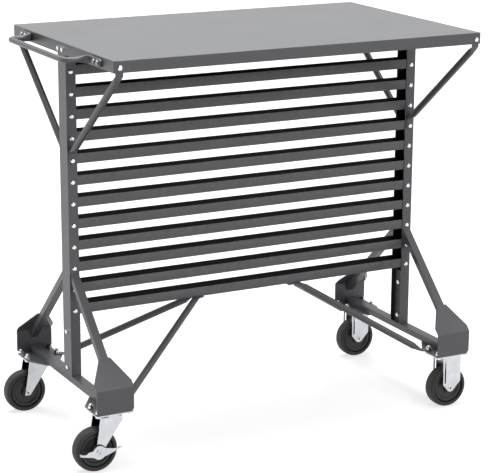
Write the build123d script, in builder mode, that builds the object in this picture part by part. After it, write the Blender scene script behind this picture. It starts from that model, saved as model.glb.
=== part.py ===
from build123d import *
import os
from math import asin, atan2, cos, hypot, radians, sin, tan

# A mobile bin cart: a pressed steel worktop on two channel posts, twelve open
# rails between the posts for hanging bins on, braced feet with sheet corner
# brackets, two swivel casters at the handle end and two rigid ones at the other.
# X runs along the cart, with the handle end at -X. Y runs across it, with the
# bin side at -Y. Z is up from the floor. The origin is on the floor, midway
# between the four wheels. All lengths are in millimetres.

# Worktop
top_length = 927.5
top_depth = 590.0
top_height = 938.0
skirt_height = 26.3
top_sheet = 1.5
top_corner_radius = 3.0
top_edge_radius = 1.2
skirt_bolt_drop = 15.5

# Posts, open channels that face each other
post_width = 24.0
post_depth = 45.5
post_wall = 2.0
post_bolt_spacing = 24.0

# Rails, channels that are open upwards
rail_count = 12
rail_height = 22.9
rail_wall = 1.2
rail_end_gap = 1.0
first_screw_drop = 65.1
lowest_screw_rise = 158.9
screw_above_rail_floor = 8.6

# Feet, each a bar across the cart with an upright inside the post
foot_bar_height = 15.5
foot_wall = 1.5
foot_end_gap = 0.5
upright_height = 135.0
upright_depth = 12.0
foot_bolt_rise = 18.0
foot_bolt_spacing = 87.0

# Round struts with flattened ends
strut_diameter = 16.0
strut_wall = 1.2
strut_taper = 24.0
lug_thickness = 2.5
lug_width = 18.0
lug_run = 18.0
rails_above_top_brace_count = 4
cross_brace_reach = 123.0
cross_brace_inset = 9.5

# Rectangular leg braces
leg_width = 19.0
leg_thickness = 15.0
leg_wall = 1.5
leg_seat_above_screw = 20.2
leg_lug_margin = 10.0
rails_above_leg_brace_count = 10

# Corner brackets
bracket_sheet = 3.0
bracket_width = 90.0
bracket_reach = 249.0
bracket_face_height = 58.5
bracket_plate_length = 71.0
bracket_taper_length = 53.0
bracket_shoulder_run = 12.0
bracket_slope_run = 58.5
bracket_top_width = 25.0
bracket_corner_cut = 7.0
bracket_flange_depth = 11.0
bracket_flange_length = 50.0
bracket_flange_angle = 130.0
caster_inset = 31.0

# Handle
handle_diameter = 13.0
handle_standoff = 59.0
handle_leg_spacing = 335.0
handle_bend_radius = 18.0
handle_drop = 13.4
ear_height = 18.0
ear_thickness = 6.0
ear_length = 67.5
ear_end_margin = 11.5
ear_bolt_spacing = 20.5

# Wheels
wheel_diameter = 101.6
tyre_width = 32.0
tyre_ring = 10.8
tyre_edge_radius = 5.0
core_width = 26.0
core_face_radius = 37.5
core_dish_radius = 30.0
core_recess = 3.0
boss_radius = 12.0

# Axles
axle_radius = 4.0
axle_head_radius = 6.0
axle_head_height = 1.2
axle_hollow_radius = 2.0
axle_hollow_depth = 2.5

# Casters
caster_height = 136.7
trail = 39.9
fork_gap = 42.0
fork_sheet = 3.0
raceway_height = 4.7
raceway_radius = 27.0
plate_length = 90.0
plate_width = 60.0
plate_thickness = 3.0
plate_bolt_pitch_x = 76.2
plate_bolt_pitch_y = 43.5
kingpin_radius = 6.0
kingpin_head_radius = 11.0
kingpin_head_height = 4.5
running_clearance = 0.06
moving_gap = 0.3

# Sides of the swivel forks, measured from the kingpin and from the axle
swivel_leg_back = 33.0
swivel_leg_front = 19.0
swivel_leg_shoulder = 9.0
swivel_toe_drop = 6.5
swivel_toe_back = 7.6
swivel_toe_front = 6.2

# Sides of the rigid forks, measured from the axle
rigid_leg_inboard = 21.6
rigid_leg_outboard = 28.0
rigid_shoulder_rise = 15.7
rigid_toe_radius = 10.0
rigid_toe_angle = 43.5
rigid_slot_width = 3.8
rigid_slot_margin = 3.8
rigid_slot_end_margin = 8.0

# Brake lever and the cam housing behind it, on the front left axle
cam_radius = 18.0
cam_thickness = 3.0
lever_thickness = 2.5
lever_disc_radius = 16.0
lever_back_reach = 47.5
lever_front_reach = 50.0
lever_pad_length = 7.0
lever_pad_thickness = 3.0
lever_pad_depth = 7.0
lever_back_arm_shares = [(0.0, 0.6), (0.38, 0.34), (0.56, 0.3), (0.64, 0.02), (0.82, 0.02), (1.0, 0.27),
                         (0.97, -0.18), (0.4, -0.53), (0.0, -0.85)]
lever_front_arm_shares = [(0.0, 0.85), (0.33, 0.54), (0.75, 0.28), (1.0, 0.46), (1.0, 0.16), (0.56, -0.35),
                          (0.33, -0.59), (0.0, -0.85)]

# Fasteners
screw_radius = 2.5
screw_head_radius = 5.6
screw_head_height = 3.8
screw_length = 12.0
bolt_radius = 3.0
bolt_across = 10.0
bolt_head_height = 4.0
bolt_nut_height = 5.0
bolt_tip = 2.0
caster_bolt_radius = 4.0
caster_bolt_across = 12.0
caster_bolt_head_height = 3.6
caster_bolt_nut_height = 6.5
caster_bolt_tip = 4.0
hole_clearance = 0.15
cut_overrun = 1.0

# Levels, from the floor up
wheel_radius = wheel_diameter / 2
axle_z = wheel_radius
plate_bottom = caster_height - plate_thickness
crown_top = plate_bottom - raceway_height - moving_gap
crown_bottom = crown_top - fork_sheet
bracket_floor = caster_height + bracket_sheet
foot_top = bracket_floor + foot_bar_height
ridge_z = caster_height + bracket_face_height
skirt_bottom = top_height - skirt_height
sheet_underside = top_height - top_sheet
skirt_bolt_z = top_height - skirt_bolt_drop
first_screw_z = top_height - first_screw_drop
rail_pitch = (first_screw_z - foot_top - lowest_screw_rise) / (rail_count - 1)
screw_z = [first_screw_z - i * rail_pitch for i in range(rail_count)]
top_brace_screw_z = screw_z[rails_above_top_brace_count]
leg_brace_screw_z = screw_z[rails_above_leg_brace_count]
rail_floor_z = [z - screw_above_rail_floor for z in screw_z]

# Places along the cart and across it
post_offset = top_length / 2 - top_sheet - post_width / 2
centre_x = trail / 2
end_x = {"left": centre_x - post_offset, "right": centre_x + post_offset}
outward = {"left": -1, "right": 1}
side = {"front": -1, "back": 1}
corners = [(face, end) for end in outward for face in side]
axle_x = {"left": end_x["left"] - trail, "right": end_x["right"]}
post_face = post_depth / 2
rail_depth = post_depth - 2 * post_wall
cross_brace_y = cross_brace_inset - rail_depth / 2
caster_y = bracket_reach - caster_inset
leg_outer = fork_gap / 2 + fork_sheet
boss_width = fork_gap - 2 * moving_gap
brace_end_y = bracket_reach - bracket_sheet - foot_end_gap

# Angle of the leg braces, which run from the ridge of a bracket up to their seat on a post
leg_run = bracket_reach - post_face
leg_climb = leg_brace_screw_z + leg_seat_above_screw - ridge_z
leg_angle = atan2(leg_climb, leg_run) + asin((leg_thickness + bracket_sheet) / hypot(leg_run, leg_climb))
brace_slope = tan(leg_angle)
sheet_rise = bracket_sheet / cos(leg_angle)
leg_rise = leg_thickness / cos(leg_angle)
leg_wall_rise = leg_wall / cos(leg_angle)


def finish(builder, label):
    """Names a finished piece and writes it."""
    builder.part.label = label
    export_step(builder.part, f"parts/{label}.step")


def drill(points, direction, radius, reach):
    """Cuts a round hole through each point, by reach each way along direction."""
    with Locations(*[Plane(origin=point, z_dir=direction) for point in points]):
        Cylinder(radius, 2 * reach, mode=Mode.SUBTRACT)


def add_bolt(seat, direction, grip, radius, across, head_height, nut_height, tip):
    """Adds a hex bolt whose head seats at a point, with its nut beyond the grip."""
    plane = Plane(origin=seat, z_dir=direction)
    with BuildSketch(plane) as head:
        RegularPolygon(across / 2, 6, major_radius=False)
    with BuildSketch(plane) as shank:
        Circle(radius)
    with BuildSketch(plane.offset(grip)) as nut:
        RegularPolygon(across / 2, 6, major_radius=False)
    extrude(head.sketch, amount=-head_height)
    extrude(shank.sketch, amount=grip + nut_height + tip)
    extrude(nut.sketch, amount=nut_height)


def add_frame_bolt(seat, direction, grip):
    """Adds one of the bolts that hold the frame together."""
    add_bolt(seat, direction, grip, bolt_radius, bolt_across, bolt_head_height, bolt_nut_height, bolt_tip)


def skirt_bolt_points(axis):
    """Gives the bolt centres on the end skirts (X) or on the front and back skirts (Y)."""
    if axis == "X":
        spread = post_bolt_spacing / 2
        return [(centre_x + outward[end] * top_length / 2, y, skirt_bolt_z)
                for end in outward for y in (-spread, spread)]
    return [(end_x[end], side[face] * top_depth / 2, skirt_bolt_z) for face, end in corners]


def ear_bolt_points():
    """Gives the bolt centres of the handle's ears, on the outer face of the left skirt."""
    last = handle_leg_spacing / 2 + ear_length - ear_end_margin
    x = centre_x - top_length / 2
    z = top_height - handle_drop
    return [(x, s * y, z) for s in (-1, 1) for y in (last, last - ear_bolt_spacing)]


def plate_bolt_points(face, end, z):
    """Gives the four bolt centres of one caster plate at a level."""
    return [(end_x[end] + i * plate_bolt_pitch_x / 2, side[face] * caster_y + j * plate_bolt_pitch_y / 2, z)
            for i in (-1, 1) for j in (-1, 1)]


def cross_brace_pins(face, end):
    """Gives the low and the high bolt centre of one cross brace, in the middle of its lugs.

    The lugs of the front and the back brace share a bolt under the lowest rail, the front one on top.
    """
    lugs_above = 0.5 if face == "front" else 1.5
    low = (end_x[end] - outward[end] * plate_bolt_pitch_x / 2,
           side[face] * (caster_y - plate_bolt_pitch_y / 2),
           bracket_floor + lug_thickness / 2)
    high = (centre_x + outward[end] * cross_brace_reach, cross_brace_y,
            rail_floor_z[-1] - lugs_above * lug_thickness)
    return low, high


def slope_z(y):
    """Level of the outer face of a corner bracket's slope, at a distance from the middle."""
    return ridge_z + (bracket_reach - y) * brace_slope


def make_worktop():
    """A pan: one sheet with its four skirts turned down."""
    with BuildPart() as worktop:
        with BuildSketch(Plane.XY.offset(skirt_bottom)):
            with Locations((centre_x, 0)):
                RectangleRounded(top_length, top_depth, top_corner_radius)
        extrude(amount=skirt_height)
        fillet(worktop.faces().sort_by(Axis.Z)[-1].edges(), top_edge_radius)
        with BuildSketch(Plane.XY.offset(skirt_bottom)):
            with Locations((centre_x, 0)):
                Rectangle(top_length - 2 * top_sheet, top_depth - 2 * top_sheet)
        extrude(amount=skirt_height - top_sheet, mode=Mode.SUBTRACT)
        hole = bolt_radius + hole_clearance
        drill(skirt_bolt_points("X"), (1, 0, 0), hole, top_sheet + cut_overrun)
        drill(skirt_bolt_points("Y"), (0, 1, 0), hole, top_sheet + cut_overrun)
        drill(ear_bolt_points(), (1, 0, 0), hole, top_sheet + cut_overrun)
    finish(worktop, "worktop")


def make_post(end):
    """A channel that opens towards the middle of the cart, with all its bolt holes."""
    out = outward[end]
    outer_x = end_x[end] + out * post_width / 2
    with BuildPart() as post:
        with BuildSketch(Plane.XY.offset(foot_top)):
            with Locations((end_x[end], 0)):
                Rectangle(post_width, post_depth)
            with Locations((end_x[end] - out * post_wall, 0)):
                Rectangle(post_width, post_depth - 2 * post_wall, mode=Mode.SUBTRACT)
        extrude(amount=sheet_underside - foot_top)
        reach = post_wall + cut_overrun
        drill([(end_x[end], -post_face, z) for z in screw_z], (0, 1, 0), screw_radius + hole_clearance, reach)
        hole = bolt_radius + hole_clearance
        drill([(end_x[end], post_face, z) for z in (top_brace_screw_z, leg_brace_screw_z)],
              (0, 1, 0), hole, reach)
        drill([(outer_x, y, skirt_bolt_z) for y in (-post_bolt_spacing / 2, post_bolt_spacing / 2)],
              (1, 0, 0), hole, reach)
        drill([(outer_x, 0, foot_top + foot_bolt_rise + i * foot_bolt_spacing) for i in range(2)],
              (1, 0, 0), hole, reach)
    finish(post, f"{end}_post")


def make_rail(number):
    """An open channel between the posts, with its ends inside them."""
    floor = rail_floor_z[number - 1]
    half = post_offset + post_width / 2 - post_wall - rail_end_gap
    with BuildPart() as rail:
        with BuildSketch(Plane.YZ.offset(centre_x - half)):
            with Locations((0, floor + rail_height / 2)):
                Rectangle(rail_depth, rail_height)
            with Locations((0, floor + rail_height / 2 + rail_wall)):
                Rectangle(rail_depth - 2 * rail_wall, rail_height, mode=Mode.SUBTRACT)
        extrude(amount=2 * half)
        drill([(end_x[end], -rail_depth / 2, screw_z[number - 1]) for end in outward],
              (0, 1, 0), screw_radius + hole_clearance, rail_wall + cut_overrun)
        if number - 1 in (rails_above_top_brace_count, rails_above_leg_brace_count):
            drill([(end_x[end], rail_depth / 2, screw_z[number - 1]) for end in outward],
                  (0, 1, 0), bolt_radius + hole_clearance, rail_wall + cut_overrun)
        if number == rail_count:
            pins = [cross_brace_pins("front", end)[1] for end in outward]
            drill([(x, y, floor) for x, y, z in pins], (0, 0, 1), bolt_radius + hole_clearance,
                  rail_wall + cut_overrun)
    finish(rail, f"rail_{number:02d}")


def make_rail_screws():
    """Two round-headed screws for each rail, through the fronts of the posts."""
    with BuildPart() as screws:
        for end in outward:
            for z in screw_z:
                lug = lug_thickness if z in (top_brace_screw_z, leg_brace_screw_z) else 0
                seat = Plane(origin=(end_x[end], -post_face - lug, z), z_dir=(0, 1, 0))
                with BuildSketch(seat) as head:
                    Circle(screw_head_radius)
                with BuildSketch(seat) as shank:
                    Circle(screw_radius)
                extrude(head.sketch, amount=-screw_head_height)
                extrude(shank.sketch, amount=screw_length)
        heads = screws.faces().filter_by(Axis.Y).group_by(SortBy.AREA)[-1]
        rims = heads.edges().filter_by(GeomType.CIRCLE)
        fillet([edge for edge in rims if edge.radius > screw_radius + hole_clearance
                and edge.center().Y < -post_face - screw_head_height / 2], screw_head_height / 2)
    finish(screws, "rail_screws")


def make_foot(end):
    """A bar across the cart with an upright that stands inside the post, against its web."""
    out = outward[end]
    upright_x = end_x[end] + out * (post_width / 2 - post_wall - upright_depth / 2)
    with BuildPart() as foot:
        with BuildSketch(Plane.XZ.offset(-brace_end_y)):
            with Locations((end_x[end], bracket_floor + foot_bar_height / 2)):
                Rectangle(post_width, foot_bar_height)
                Rectangle(post_width - 2 * foot_wall, foot_bar_height - 2 * foot_wall, mode=Mode.SUBTRACT)
        extrude(amount=2 * brace_end_y)
        with BuildSketch(Plane.XY.offset(foot_top)):
            with Locations((upright_x, 0)):
                Rectangle(upright_depth, rail_depth)
                Rectangle(upright_depth - 2 * foot_wall, rail_depth - 2 * foot_wall, mode=Mode.SUBTRACT)
        extrude(amount=upright_height)
        drill([(upright_x, 0, foot_top + foot_bolt_rise + i * foot_bolt_spacing) for i in range(2)],
              (1, 0, 0), bolt_radius + hole_clearance, post_width)
    finish(foot, f"{end}_foot")


def make_strut(label, low_pin, high_pin, face, low_bolt):
    """A round tube between two pins, with its ends flattened square to a direction."""
    low, high, face = Vector(*low_pin), Vector(*high_pin), Vector(*face)
    span = high - low
    along = (span - face * span.dot(face)).normalized()
    low_bend = low + along * lug_run
    high_bend = high - along * lug_run
    axis = (high_bend - low_bend).normalized()
    low_round = low_bend + axis * strut_taper
    high_round = high_bend - axis * strut_taper
    across = face.cross(along)
    with BuildPart() as strut:
        for pin, bend, start, lug_way, tube_way, bolt in (
                (low, low_bend, low_round, along, axis, low_bolt),
                (high, high_bend, high_round, -along, -axis, bolt_radius)):
            with BuildSketch(Plane(origin=pin, x_dir=lug_way, z_dir=face)) as lug:
                Circle(lug_width / 2)
                with Locations((lug_run / 2, 0)):
                    Rectangle(lug_run, lug_width)
                Circle(bolt + hole_clearance, mode=Mode.SUBTRACT)
            with BuildSketch(Plane(origin=bend, x_dir=across, z_dir=lug_way)) as flat:
                Rectangle(lug_width, lug_thickness)
            with BuildSketch(Plane(origin=start, x_dir=across, z_dir=tube_way)) as ring:
                Circle(strut_diameter / 2)
            extrude(lug.sketch, amount=lug_thickness / 2, both=True)
            loft(sections=[flat.sketch, ring.sketch])
        with BuildSketch(Plane(origin=low_round, x_dir=across, z_dir=axis)) as tube:
            Circle(strut_diameter / 2)
        extrude(tube.sketch, amount=(high_round - low_round).length)
        with BuildSketch(Plane(origin=low_round, x_dir=across, z_dir=axis)) as bore:
            Circle(strut_diameter / 2 - strut_wall)
        extrude(bore.sketch, amount=(high_round - low_round).length, mode=Mode.SUBTRACT)
    finish(strut, label)


def make_top_brace(face, end):
    """A strut from the middle of a post up to the skirt in front of it or behind it."""
    way = side[face]
    low = (end_x[end], way * (post_face + lug_thickness / 2), top_brace_screw_z)
    high = (end_x[end], way * (top_depth / 2 - top_sheet - lug_thickness / 2), skirt_bolt_z)
    make_strut(f"{face}_{end}_top_brace", low, high, (0, 1, 0), bolt_radius)


def make_cross_brace(face, end):
    """A strut from a corner bracket up to the lowest rail."""
    low, high = cross_brace_pins(face, end)
    make_strut(f"{face}_{end}_cross_brace", low, high, (0, 0, 1), caster_bolt_radius)


def make_leg_brace(face, end):
    """A rectangular tube from the post down into the corner bracket, with a lug for its screw."""
    way = side[face]
    upper = [(y, slope_z(y) - sheet_rise) for y in (post_face, brace_end_y)]
    lower = [(y, z - leg_rise) for y, z in reversed(upper)]
    ends = (post_face - cut_overrun, brace_end_y + cut_overrun)
    bore_upper = [(y, slope_z(y) - sheet_rise - leg_wall_rise) for y in ends]
    bore_lower = [(y, z - leg_rise + 2 * leg_wall_rise) for y, z in reversed(bore_upper)]
    lug_top = lower[-1][1] + leg_wall_rise
    lug_bottom = leg_brace_screw_z - leg_lug_margin
    with BuildPart() as brace:
        with BuildSketch(Plane.YZ.offset(end_x[end])) as outside:
            with BuildLine():
                Polyline(*[(way * y, z) for y, z in upper + lower], close=True)
            make_face()
        extrude(outside.sketch, amount=leg_width / 2, both=True)
        with BuildSketch(Plane.YZ.offset(end_x[end])) as bore:
            with BuildLine():
                Polyline(*[(way * y, z) for y, z in bore_upper + bore_lower], close=True)
            make_face()
        extrude(bore.sketch, amount=leg_width / 2 - leg_wall, both=True, mode=Mode.SUBTRACT)
        with BuildSketch(Plane.XZ.offset(-way * post_face)) as lug:
            with Locations((end_x[end], (lug_top + lug_bottom) / 2)):
                Rectangle(leg_width, lug_top - lug_bottom)
        extrude(lug.sketch, amount=-way * lug_thickness)
        drill([(end_x[end], way * post_face, leg_brace_screw_z)], (0, 1, 0),
              bolt_radius + hole_clearance, lug_thickness + cut_overrun)
    finish(brace, f"{face}_{end}_leg_brace")


def make_corner_bracket(face, end):
    """A folded sheet: a floor for the caster, an end face, and a slope that narrows to the brace."""
    way = side[face]
    x = end_x[end]
    normal = (sin(leg_angle), cos(leg_angle))
    top_y = bracket_reach - bracket_slope_run
    top_z = slope_z(top_y)
    inner_y = bracket_reach - bracket_sheet
    fold = [(bracket_reach, caster_height), (bracket_reach, ridge_z), (top_y, top_z),
            (top_y - bracket_sheet * normal[0], top_z - bracket_sheet * normal[1]),
            (inner_y, slope_z(inner_y) - sheet_rise), (inner_y, caster_height)]
    wide, narrow, cut = bracket_width / 2, bracket_top_width / 2, bracket_corner_cut
    shoulder_y = bracket_reach - bracket_shoulder_run
    shoulder_z = slope_z(shoulder_y)
    plate_y = bracket_reach - bracket_plate_length
    tongue_y = plate_y - bracket_taper_length
    floor = [(-wide + cut, bracket_reach), (wide - cut, bracket_reach), (wide, bracket_reach - cut),
             (wide, plate_y), (post_width / 2, tongue_y), (-post_width / 2, tongue_y), (-wide, plate_y),
             (-wide, bracket_reach - cut)]
    with BuildPart() as bracket:
        with BuildSketch(Plane.YZ.offset(x)):
            with BuildLine():
                Polyline(*[(way * y, z) for y, z in fold], close=True)
            make_face()
        extrude(amount=wide, both=True)
        with BuildSketch(Plane.XZ):
            for hand in (-1, 1):
                with BuildLine():
                    Polyline(*[(x + hand * u, z) for u, z in (
                        (wide, shoulder_z), (narrow, top_z), (narrow, top_z + cut_overrun),
                        (wide + cut_overrun, top_z + cut_overrun), (wide + cut_overrun, shoulder_z))],
                        close=True)
                make_face()
                with BuildLine():
                    Polyline(*[(x + hand * u, z) for u, z in (
                        (wide - cut, caster_height), (wide, caster_height + cut),
                        (wide + cut_overrun, caster_height + cut),
                        (wide + cut_overrun, caster_height - cut_overrun),
                        (wide - cut, caster_height - cut_overrun))], close=True)
                make_face()
        extrude(amount=bracket_reach + cut_overrun, both=True, mode=Mode.SUBTRACT)
        with BuildSketch(Plane.XY.offset(caster_height)):
            with BuildLine():
                Polyline(*[(x + u, way * y) for u, y in floor], close=True)
            make_face()
        extrude(amount=bracket_sheet)
        corner = Vector(x + wide, way * shoulder_y, shoulder_z)
        edge_way = (Vector(x + narrow, way * top_y, top_z) - corner).normalized()
        inward = Vector(0, -way * normal[0], -normal[1])
        middle_way = (inward.cross(edge_way) * way).normalized()
        turn = radians(bracket_flange_angle)
        depth_way = inward * sin(turn) - middle_way * cos(turn)
        start = corner + middle_way * (bracket_sheet * sin(turn))
        with BuildSketch(Plane(origin=start, x_dir=edge_way, z_dir=edge_way.cross(depth_way))) as flange:
            with Locations((bracket_flange_length / 2, bracket_flange_depth / 2)):
                Rectangle(bracket_flange_length, bracket_flange_depth)
        extrude(flange.sketch, amount=way * bracket_sheet)
        drill(plate_bolt_points(face, end, bracket_floor), (0, 0, 1), caster_bolt_radius + hole_clearance,
              bracket_sheet + cut_overrun)
    finish(bracket, f"{face}_{end}_corner_bracket")


def make_handle():
    """A bent bar whose flattened ends are bolted to the left skirt."""
    skirt_x = centre_x - top_length / 2
    bar_x = skirt_x - handle_standoff
    leg_y = handle_leg_spacing / 2
    z = top_height - handle_drop
    with BuildPart() as handle:
        with BuildLine() as path:
            FilletPolyline((skirt_x, -leg_y, z), (bar_x, -leg_y, z), (bar_x, leg_y, z), (skirt_x, leg_y, z),
                           radius=handle_bend_radius)
        with BuildSketch(Plane(origin=(skirt_x, -leg_y, z), z_dir=(-1, 0, 0))):
            Circle(handle_diameter / 2)
        sweep(path=path.line)
        with BuildSketch(Plane.YZ.offset(skirt_x - ear_thickness)):
            with Locations((-leg_y - ear_length / 2, z), (leg_y + ear_length / 2, z)):
                Rectangle(ear_length, ear_height)
        extrude(amount=ear_thickness)
        ends = handle.edges().filter_by(Axis.X).filter_by(
            lambda edge: abs(edge.center().Y) > leg_y + ear_length - hole_clearance)
        fillet(ends, ear_height / 3)
        drill(ear_bolt_points(), (1, 0, 0), bolt_radius + hole_clearance, ear_thickness + cut_overrun)
    finish(handle, "handle")


def make_skirt_bolts():
    """The bolts through the worktop's skirts: posts, handle ears and top braces."""
    with BuildPart() as bolts:
        for x, y, z in skirt_bolt_points("X"):
            way = -1 if x > centre_x else 1
            add_frame_bolt((x, y, z), (way, 0, 0), top_sheet + post_wall)
        for x, y, z in ear_bolt_points():
            add_frame_bolt((x - ear_thickness, y, z), (1, 0, 0), ear_thickness + top_sheet)
        for x, y, z in skirt_bolt_points("Y"):
            way = -1 if y > 0 else 1
            add_frame_bolt((x, y, z), (0, way, 0), top_sheet + lug_thickness)
    finish(bolts, "skirt_bolts")


def make_frame_bolts():
    """The bolts through the backs and bottoms of the posts, and those under the lowest rail."""
    with BuildPart() as bolts:
        for end in outward:
            for z in (top_brace_screw_z, leg_brace_screw_z):
                seat = (end_x[end], post_face + lug_thickness, z)
                add_frame_bolt(seat, (0, -1, 0), lug_thickness + post_wall + rail_wall)
            for i in range(2):
                seat = (end_x[end] + outward[end] * post_width / 2, 0,
                        foot_top + foot_bolt_rise + i * foot_bolt_spacing)
                add_frame_bolt(seat, (-outward[end], 0, 0), post_wall + upright_depth)
            x, y, z = cross_brace_pins("back", end)[1]
            add_frame_bolt((x, y, z - lug_thickness / 2), (0, 0, 1), 2 * lug_thickness + rail_wall)
    finish(bolts, "frame_bolts")


def make_caster_bolts():
    """Four bolts for each caster, up through its plate, the bracket and any brace lug there."""
    with BuildPart() as bolts:
        for face, end in corners:
            braced_x, braced_y, _ = cross_brace_pins(face, end)[0]
            for x, y, z in plate_bolt_points(face, end, plate_bottom):
                braced = abs(x - braced_x) < caster_bolt_radius and abs(y - braced_y) < caster_bolt_radius
                grip = plate_thickness + bracket_sheet + (lug_thickness if braced else 0)
                add_bolt((x, y, z), (0, 0, 1), grip, caster_bolt_radius, caster_bolt_across,
                         caster_bolt_head_height, caster_bolt_nut_height, caster_bolt_tip)
    finish(bolts, "caster_bolts")


def add_caster_plate(face, end):
    """Adds the flat plate of a caster, with its four bolt holes."""
    with BuildSketch(Plane.XY.offset(plate_bottom)) as plate:
        with Locations((end_x[end], side[face] * caster_y)):
            RectangleRounded(plate_length, plate_width, caster_bolt_across / 2)
    extrude(plate.sketch, amount=plate_thickness)
    drill(plate_bolt_points(face, end, plate_bottom), (0, 0, 1), caster_bolt_radius + hole_clearance,
          plate_thickness + cut_overrun)


def add_fork_legs(outline, face):
    """Adds the two side sheets of a fork from one outline in X and Z, with holes for the axle."""
    for hand in (-1, 1):
        inner_y = side[face] * caster_y + hand * fork_gap / 2
        with BuildSketch(Plane.XZ.offset(-inner_y)) as leg:
            with BuildLine():
                Polyline(*outline, close=True)
            make_face()
        extrude(leg.sketch, amount=-hand * fork_sheet)


def make_swivel_caster(face):
    """The plate with its raceway, the kingpin and the fork that turns on it."""
    end = "left"
    x, y = end_x[end], side[face] * caster_y
    with BuildPart() as plate:
        add_caster_plate(face, end)
        with BuildSketch(Plane.XY.offset(plate_bottom)) as raceway:
            with Locations((x, y)):
                Circle(raceway_radius)
        extrude(raceway.sketch, amount=-raceway_height)
        drill([(x, y, plate_bottom)], (0, 0, 1), kingpin_radius, caster_height)
    finish(plate, f"{face}_{end}_caster_plate")

    with BuildPart() as kingpin:
        with BuildSketch(Plane.XY.offset(caster_height)):
            with Locations((x, y)):
                Circle(kingpin_radius)
        extrude(amount=-(caster_height - crown_bottom + moving_gap))
        with BuildSketch(Plane.XY.offset(crown_bottom - moving_gap)):
            with Locations((x, y)):
                Circle(kingpin_head_radius)
        extrude(amount=-kingpin_head_height)
    finish(kingpin, f"{face}_{end}_kingpin")

    toe_x = x - trail
    outline = [(x - swivel_leg_back, crown_top), (x + swivel_leg_front, crown_top),
               (x + swivel_leg_front, crown_top - swivel_leg_shoulder),
               (toe_x + swivel_toe_front, axle_z - swivel_toe_drop),
               (toe_x - swivel_toe_back, axle_z - swivel_toe_drop)]
    with BuildPart() as fork:
        with BuildSketch(Plane.XY.offset(crown_bottom)) as crown:
            with Locations((x + (swivel_leg_front - swivel_leg_back) / 2, y)):
                Rectangle(swivel_leg_front + swivel_leg_back, 2 * leg_outer)
            with Locations((x, y)):
                Circle(leg_outer)
        extrude(crown.sketch, amount=fork_sheet)
        add_fork_legs(outline, face)
        drill([(x, y, crown_bottom)], (0, 0, 1), kingpin_radius + running_clearance, fork_sheet + cut_overrun)
        drill([(toe_x, y, axle_z)], (0, 1, 0), axle_radius, leg_outer + cut_overrun)
    finish(fork, f"{face}_{end}_swivel_fork")


def make_rigid_fork(face):
    """A plate with two fixed side sheets, each with a slot beside its inboard edge."""
    end = "right"
    x, y = end_x[end], side[face] * caster_y
    toe, toe_turn = rigid_toe_radius, radians(rigid_toe_angle)
    heel_z = axle_z + rigid_toe_radius
    outline = [(x - rigid_leg_inboard, plate_bottom), (x + rigid_leg_outboard, plate_bottom),
               (x + rigid_leg_outboard, axle_z + rigid_shoulder_rise),
               (x + toe * sin(toe_turn), axle_z - toe * cos(toe_turn)), (x, axle_z - toe),
               (x - toe * sin(toe_turn), axle_z - toe * cos(toe_turn)),
               (x - rigid_leg_inboard, heel_z)]
    slot_x = x - rigid_leg_inboard + rigid_slot_margin
    slot_low = heel_z + rigid_slot_end_margin / 2
    slot_high = plate_bottom - rigid_slot_end_margin
    with BuildPart() as fork:
        add_caster_plate(face, end)
        add_fork_legs(outline, face)
        with BuildSketch(Plane.XZ.offset(-y)) as slot:
            with Locations((slot_x + rigid_slot_width / 2, (slot_low + slot_high) / 2)):
                Rectangle(rigid_slot_width, slot_high - slot_low)
        extrude(slot.sketch, amount=leg_outer + cut_overrun, both=True, mode=Mode.SUBTRACT)
        drill([(x, y, axle_z)], (0, 1, 0), axle_radius, leg_outer + cut_overrun)
    finish(fork, f"{face}_{end}_rigid_fork")


def make_axle(face, end):
    """A hollow-ended rivet through the fork, longer where it also carries the brake lever."""
    x, y = axle_x[end], side[face] * caster_y
    extra = cam_thickness + lever_thickness + 2 * moving_gap if (face, end) == ("front", "left") else 0
    reaches = {-1: leg_outer + extra, 1: leg_outer}
    with BuildPart() as axle:
        with BuildSketch(Plane.XZ.offset(-(y - reaches[-1]))) as shaft:
            with Locations((x, axle_z)):
                Circle(axle_radius)
        extrude(shaft.sketch, amount=-(reaches[-1] + reaches[1]))
        for way, reach in reaches.items():
            with BuildSketch(Plane.XZ.offset(-(y + way * reach))) as head:
                with Locations((x, axle_z)):
                    Circle(axle_head_radius)
            extrude(head.sketch, amount=-way * axle_head_height)
            drill([(x, y + way * (reach + axle_head_height), axle_z)], (0, 1, 0), axle_hollow_radius,
                  axle_hollow_depth)
    finish(axle, f"{face}_{end}_axle")


def make_wheel(face, end):
    """A moulded core that runs on the axle, and the tyre around it."""
    x, y = axle_x[end], side[face] * caster_y
    bore = axle_radius + running_clearance
    seat = wheel_radius - tyre_ring
    wide, narrow = core_width / 2, core_width / 2 - core_recess
    half = [(bore, boss_width / 2), (boss_radius, boss_width / 2), (boss_radius, narrow),
            (core_dish_radius, narrow), (core_dish_radius + core_recess / 2, wide),
            (core_face_radius, wide), (core_face_radius, narrow), (seat, narrow)]
    profile = half + [(r, -w) for r, w in reversed(half)]
    turning = Plane(origin=(x, y, axle_z), x_dir=(1, 0, 0), z_dir=(0, 0, 1))
    with BuildPart() as core:
        with BuildSketch(turning):
            with BuildLine():
                Polyline(*profile, close=True)
            make_face()
        revolve(axis=Axis((x, y, axle_z), (0, 1, 0)))
    finish(core, f"{face}_{end}_wheel_core")

    with BuildPart() as tyre:
        with BuildSketch(turning) as ring:
            with Locations(((seat + wheel_radius) / 2, 0)):
                Rectangle(tyre_ring, tyre_width)
            fillet(ring.vertices().group_by(Axis.X)[-1], tyre_edge_radius)
        revolve(axis=Axis((x, y, axle_z), (0, 1, 0)))
    finish(tyre, f"{face}_{end}_tyre")


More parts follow.
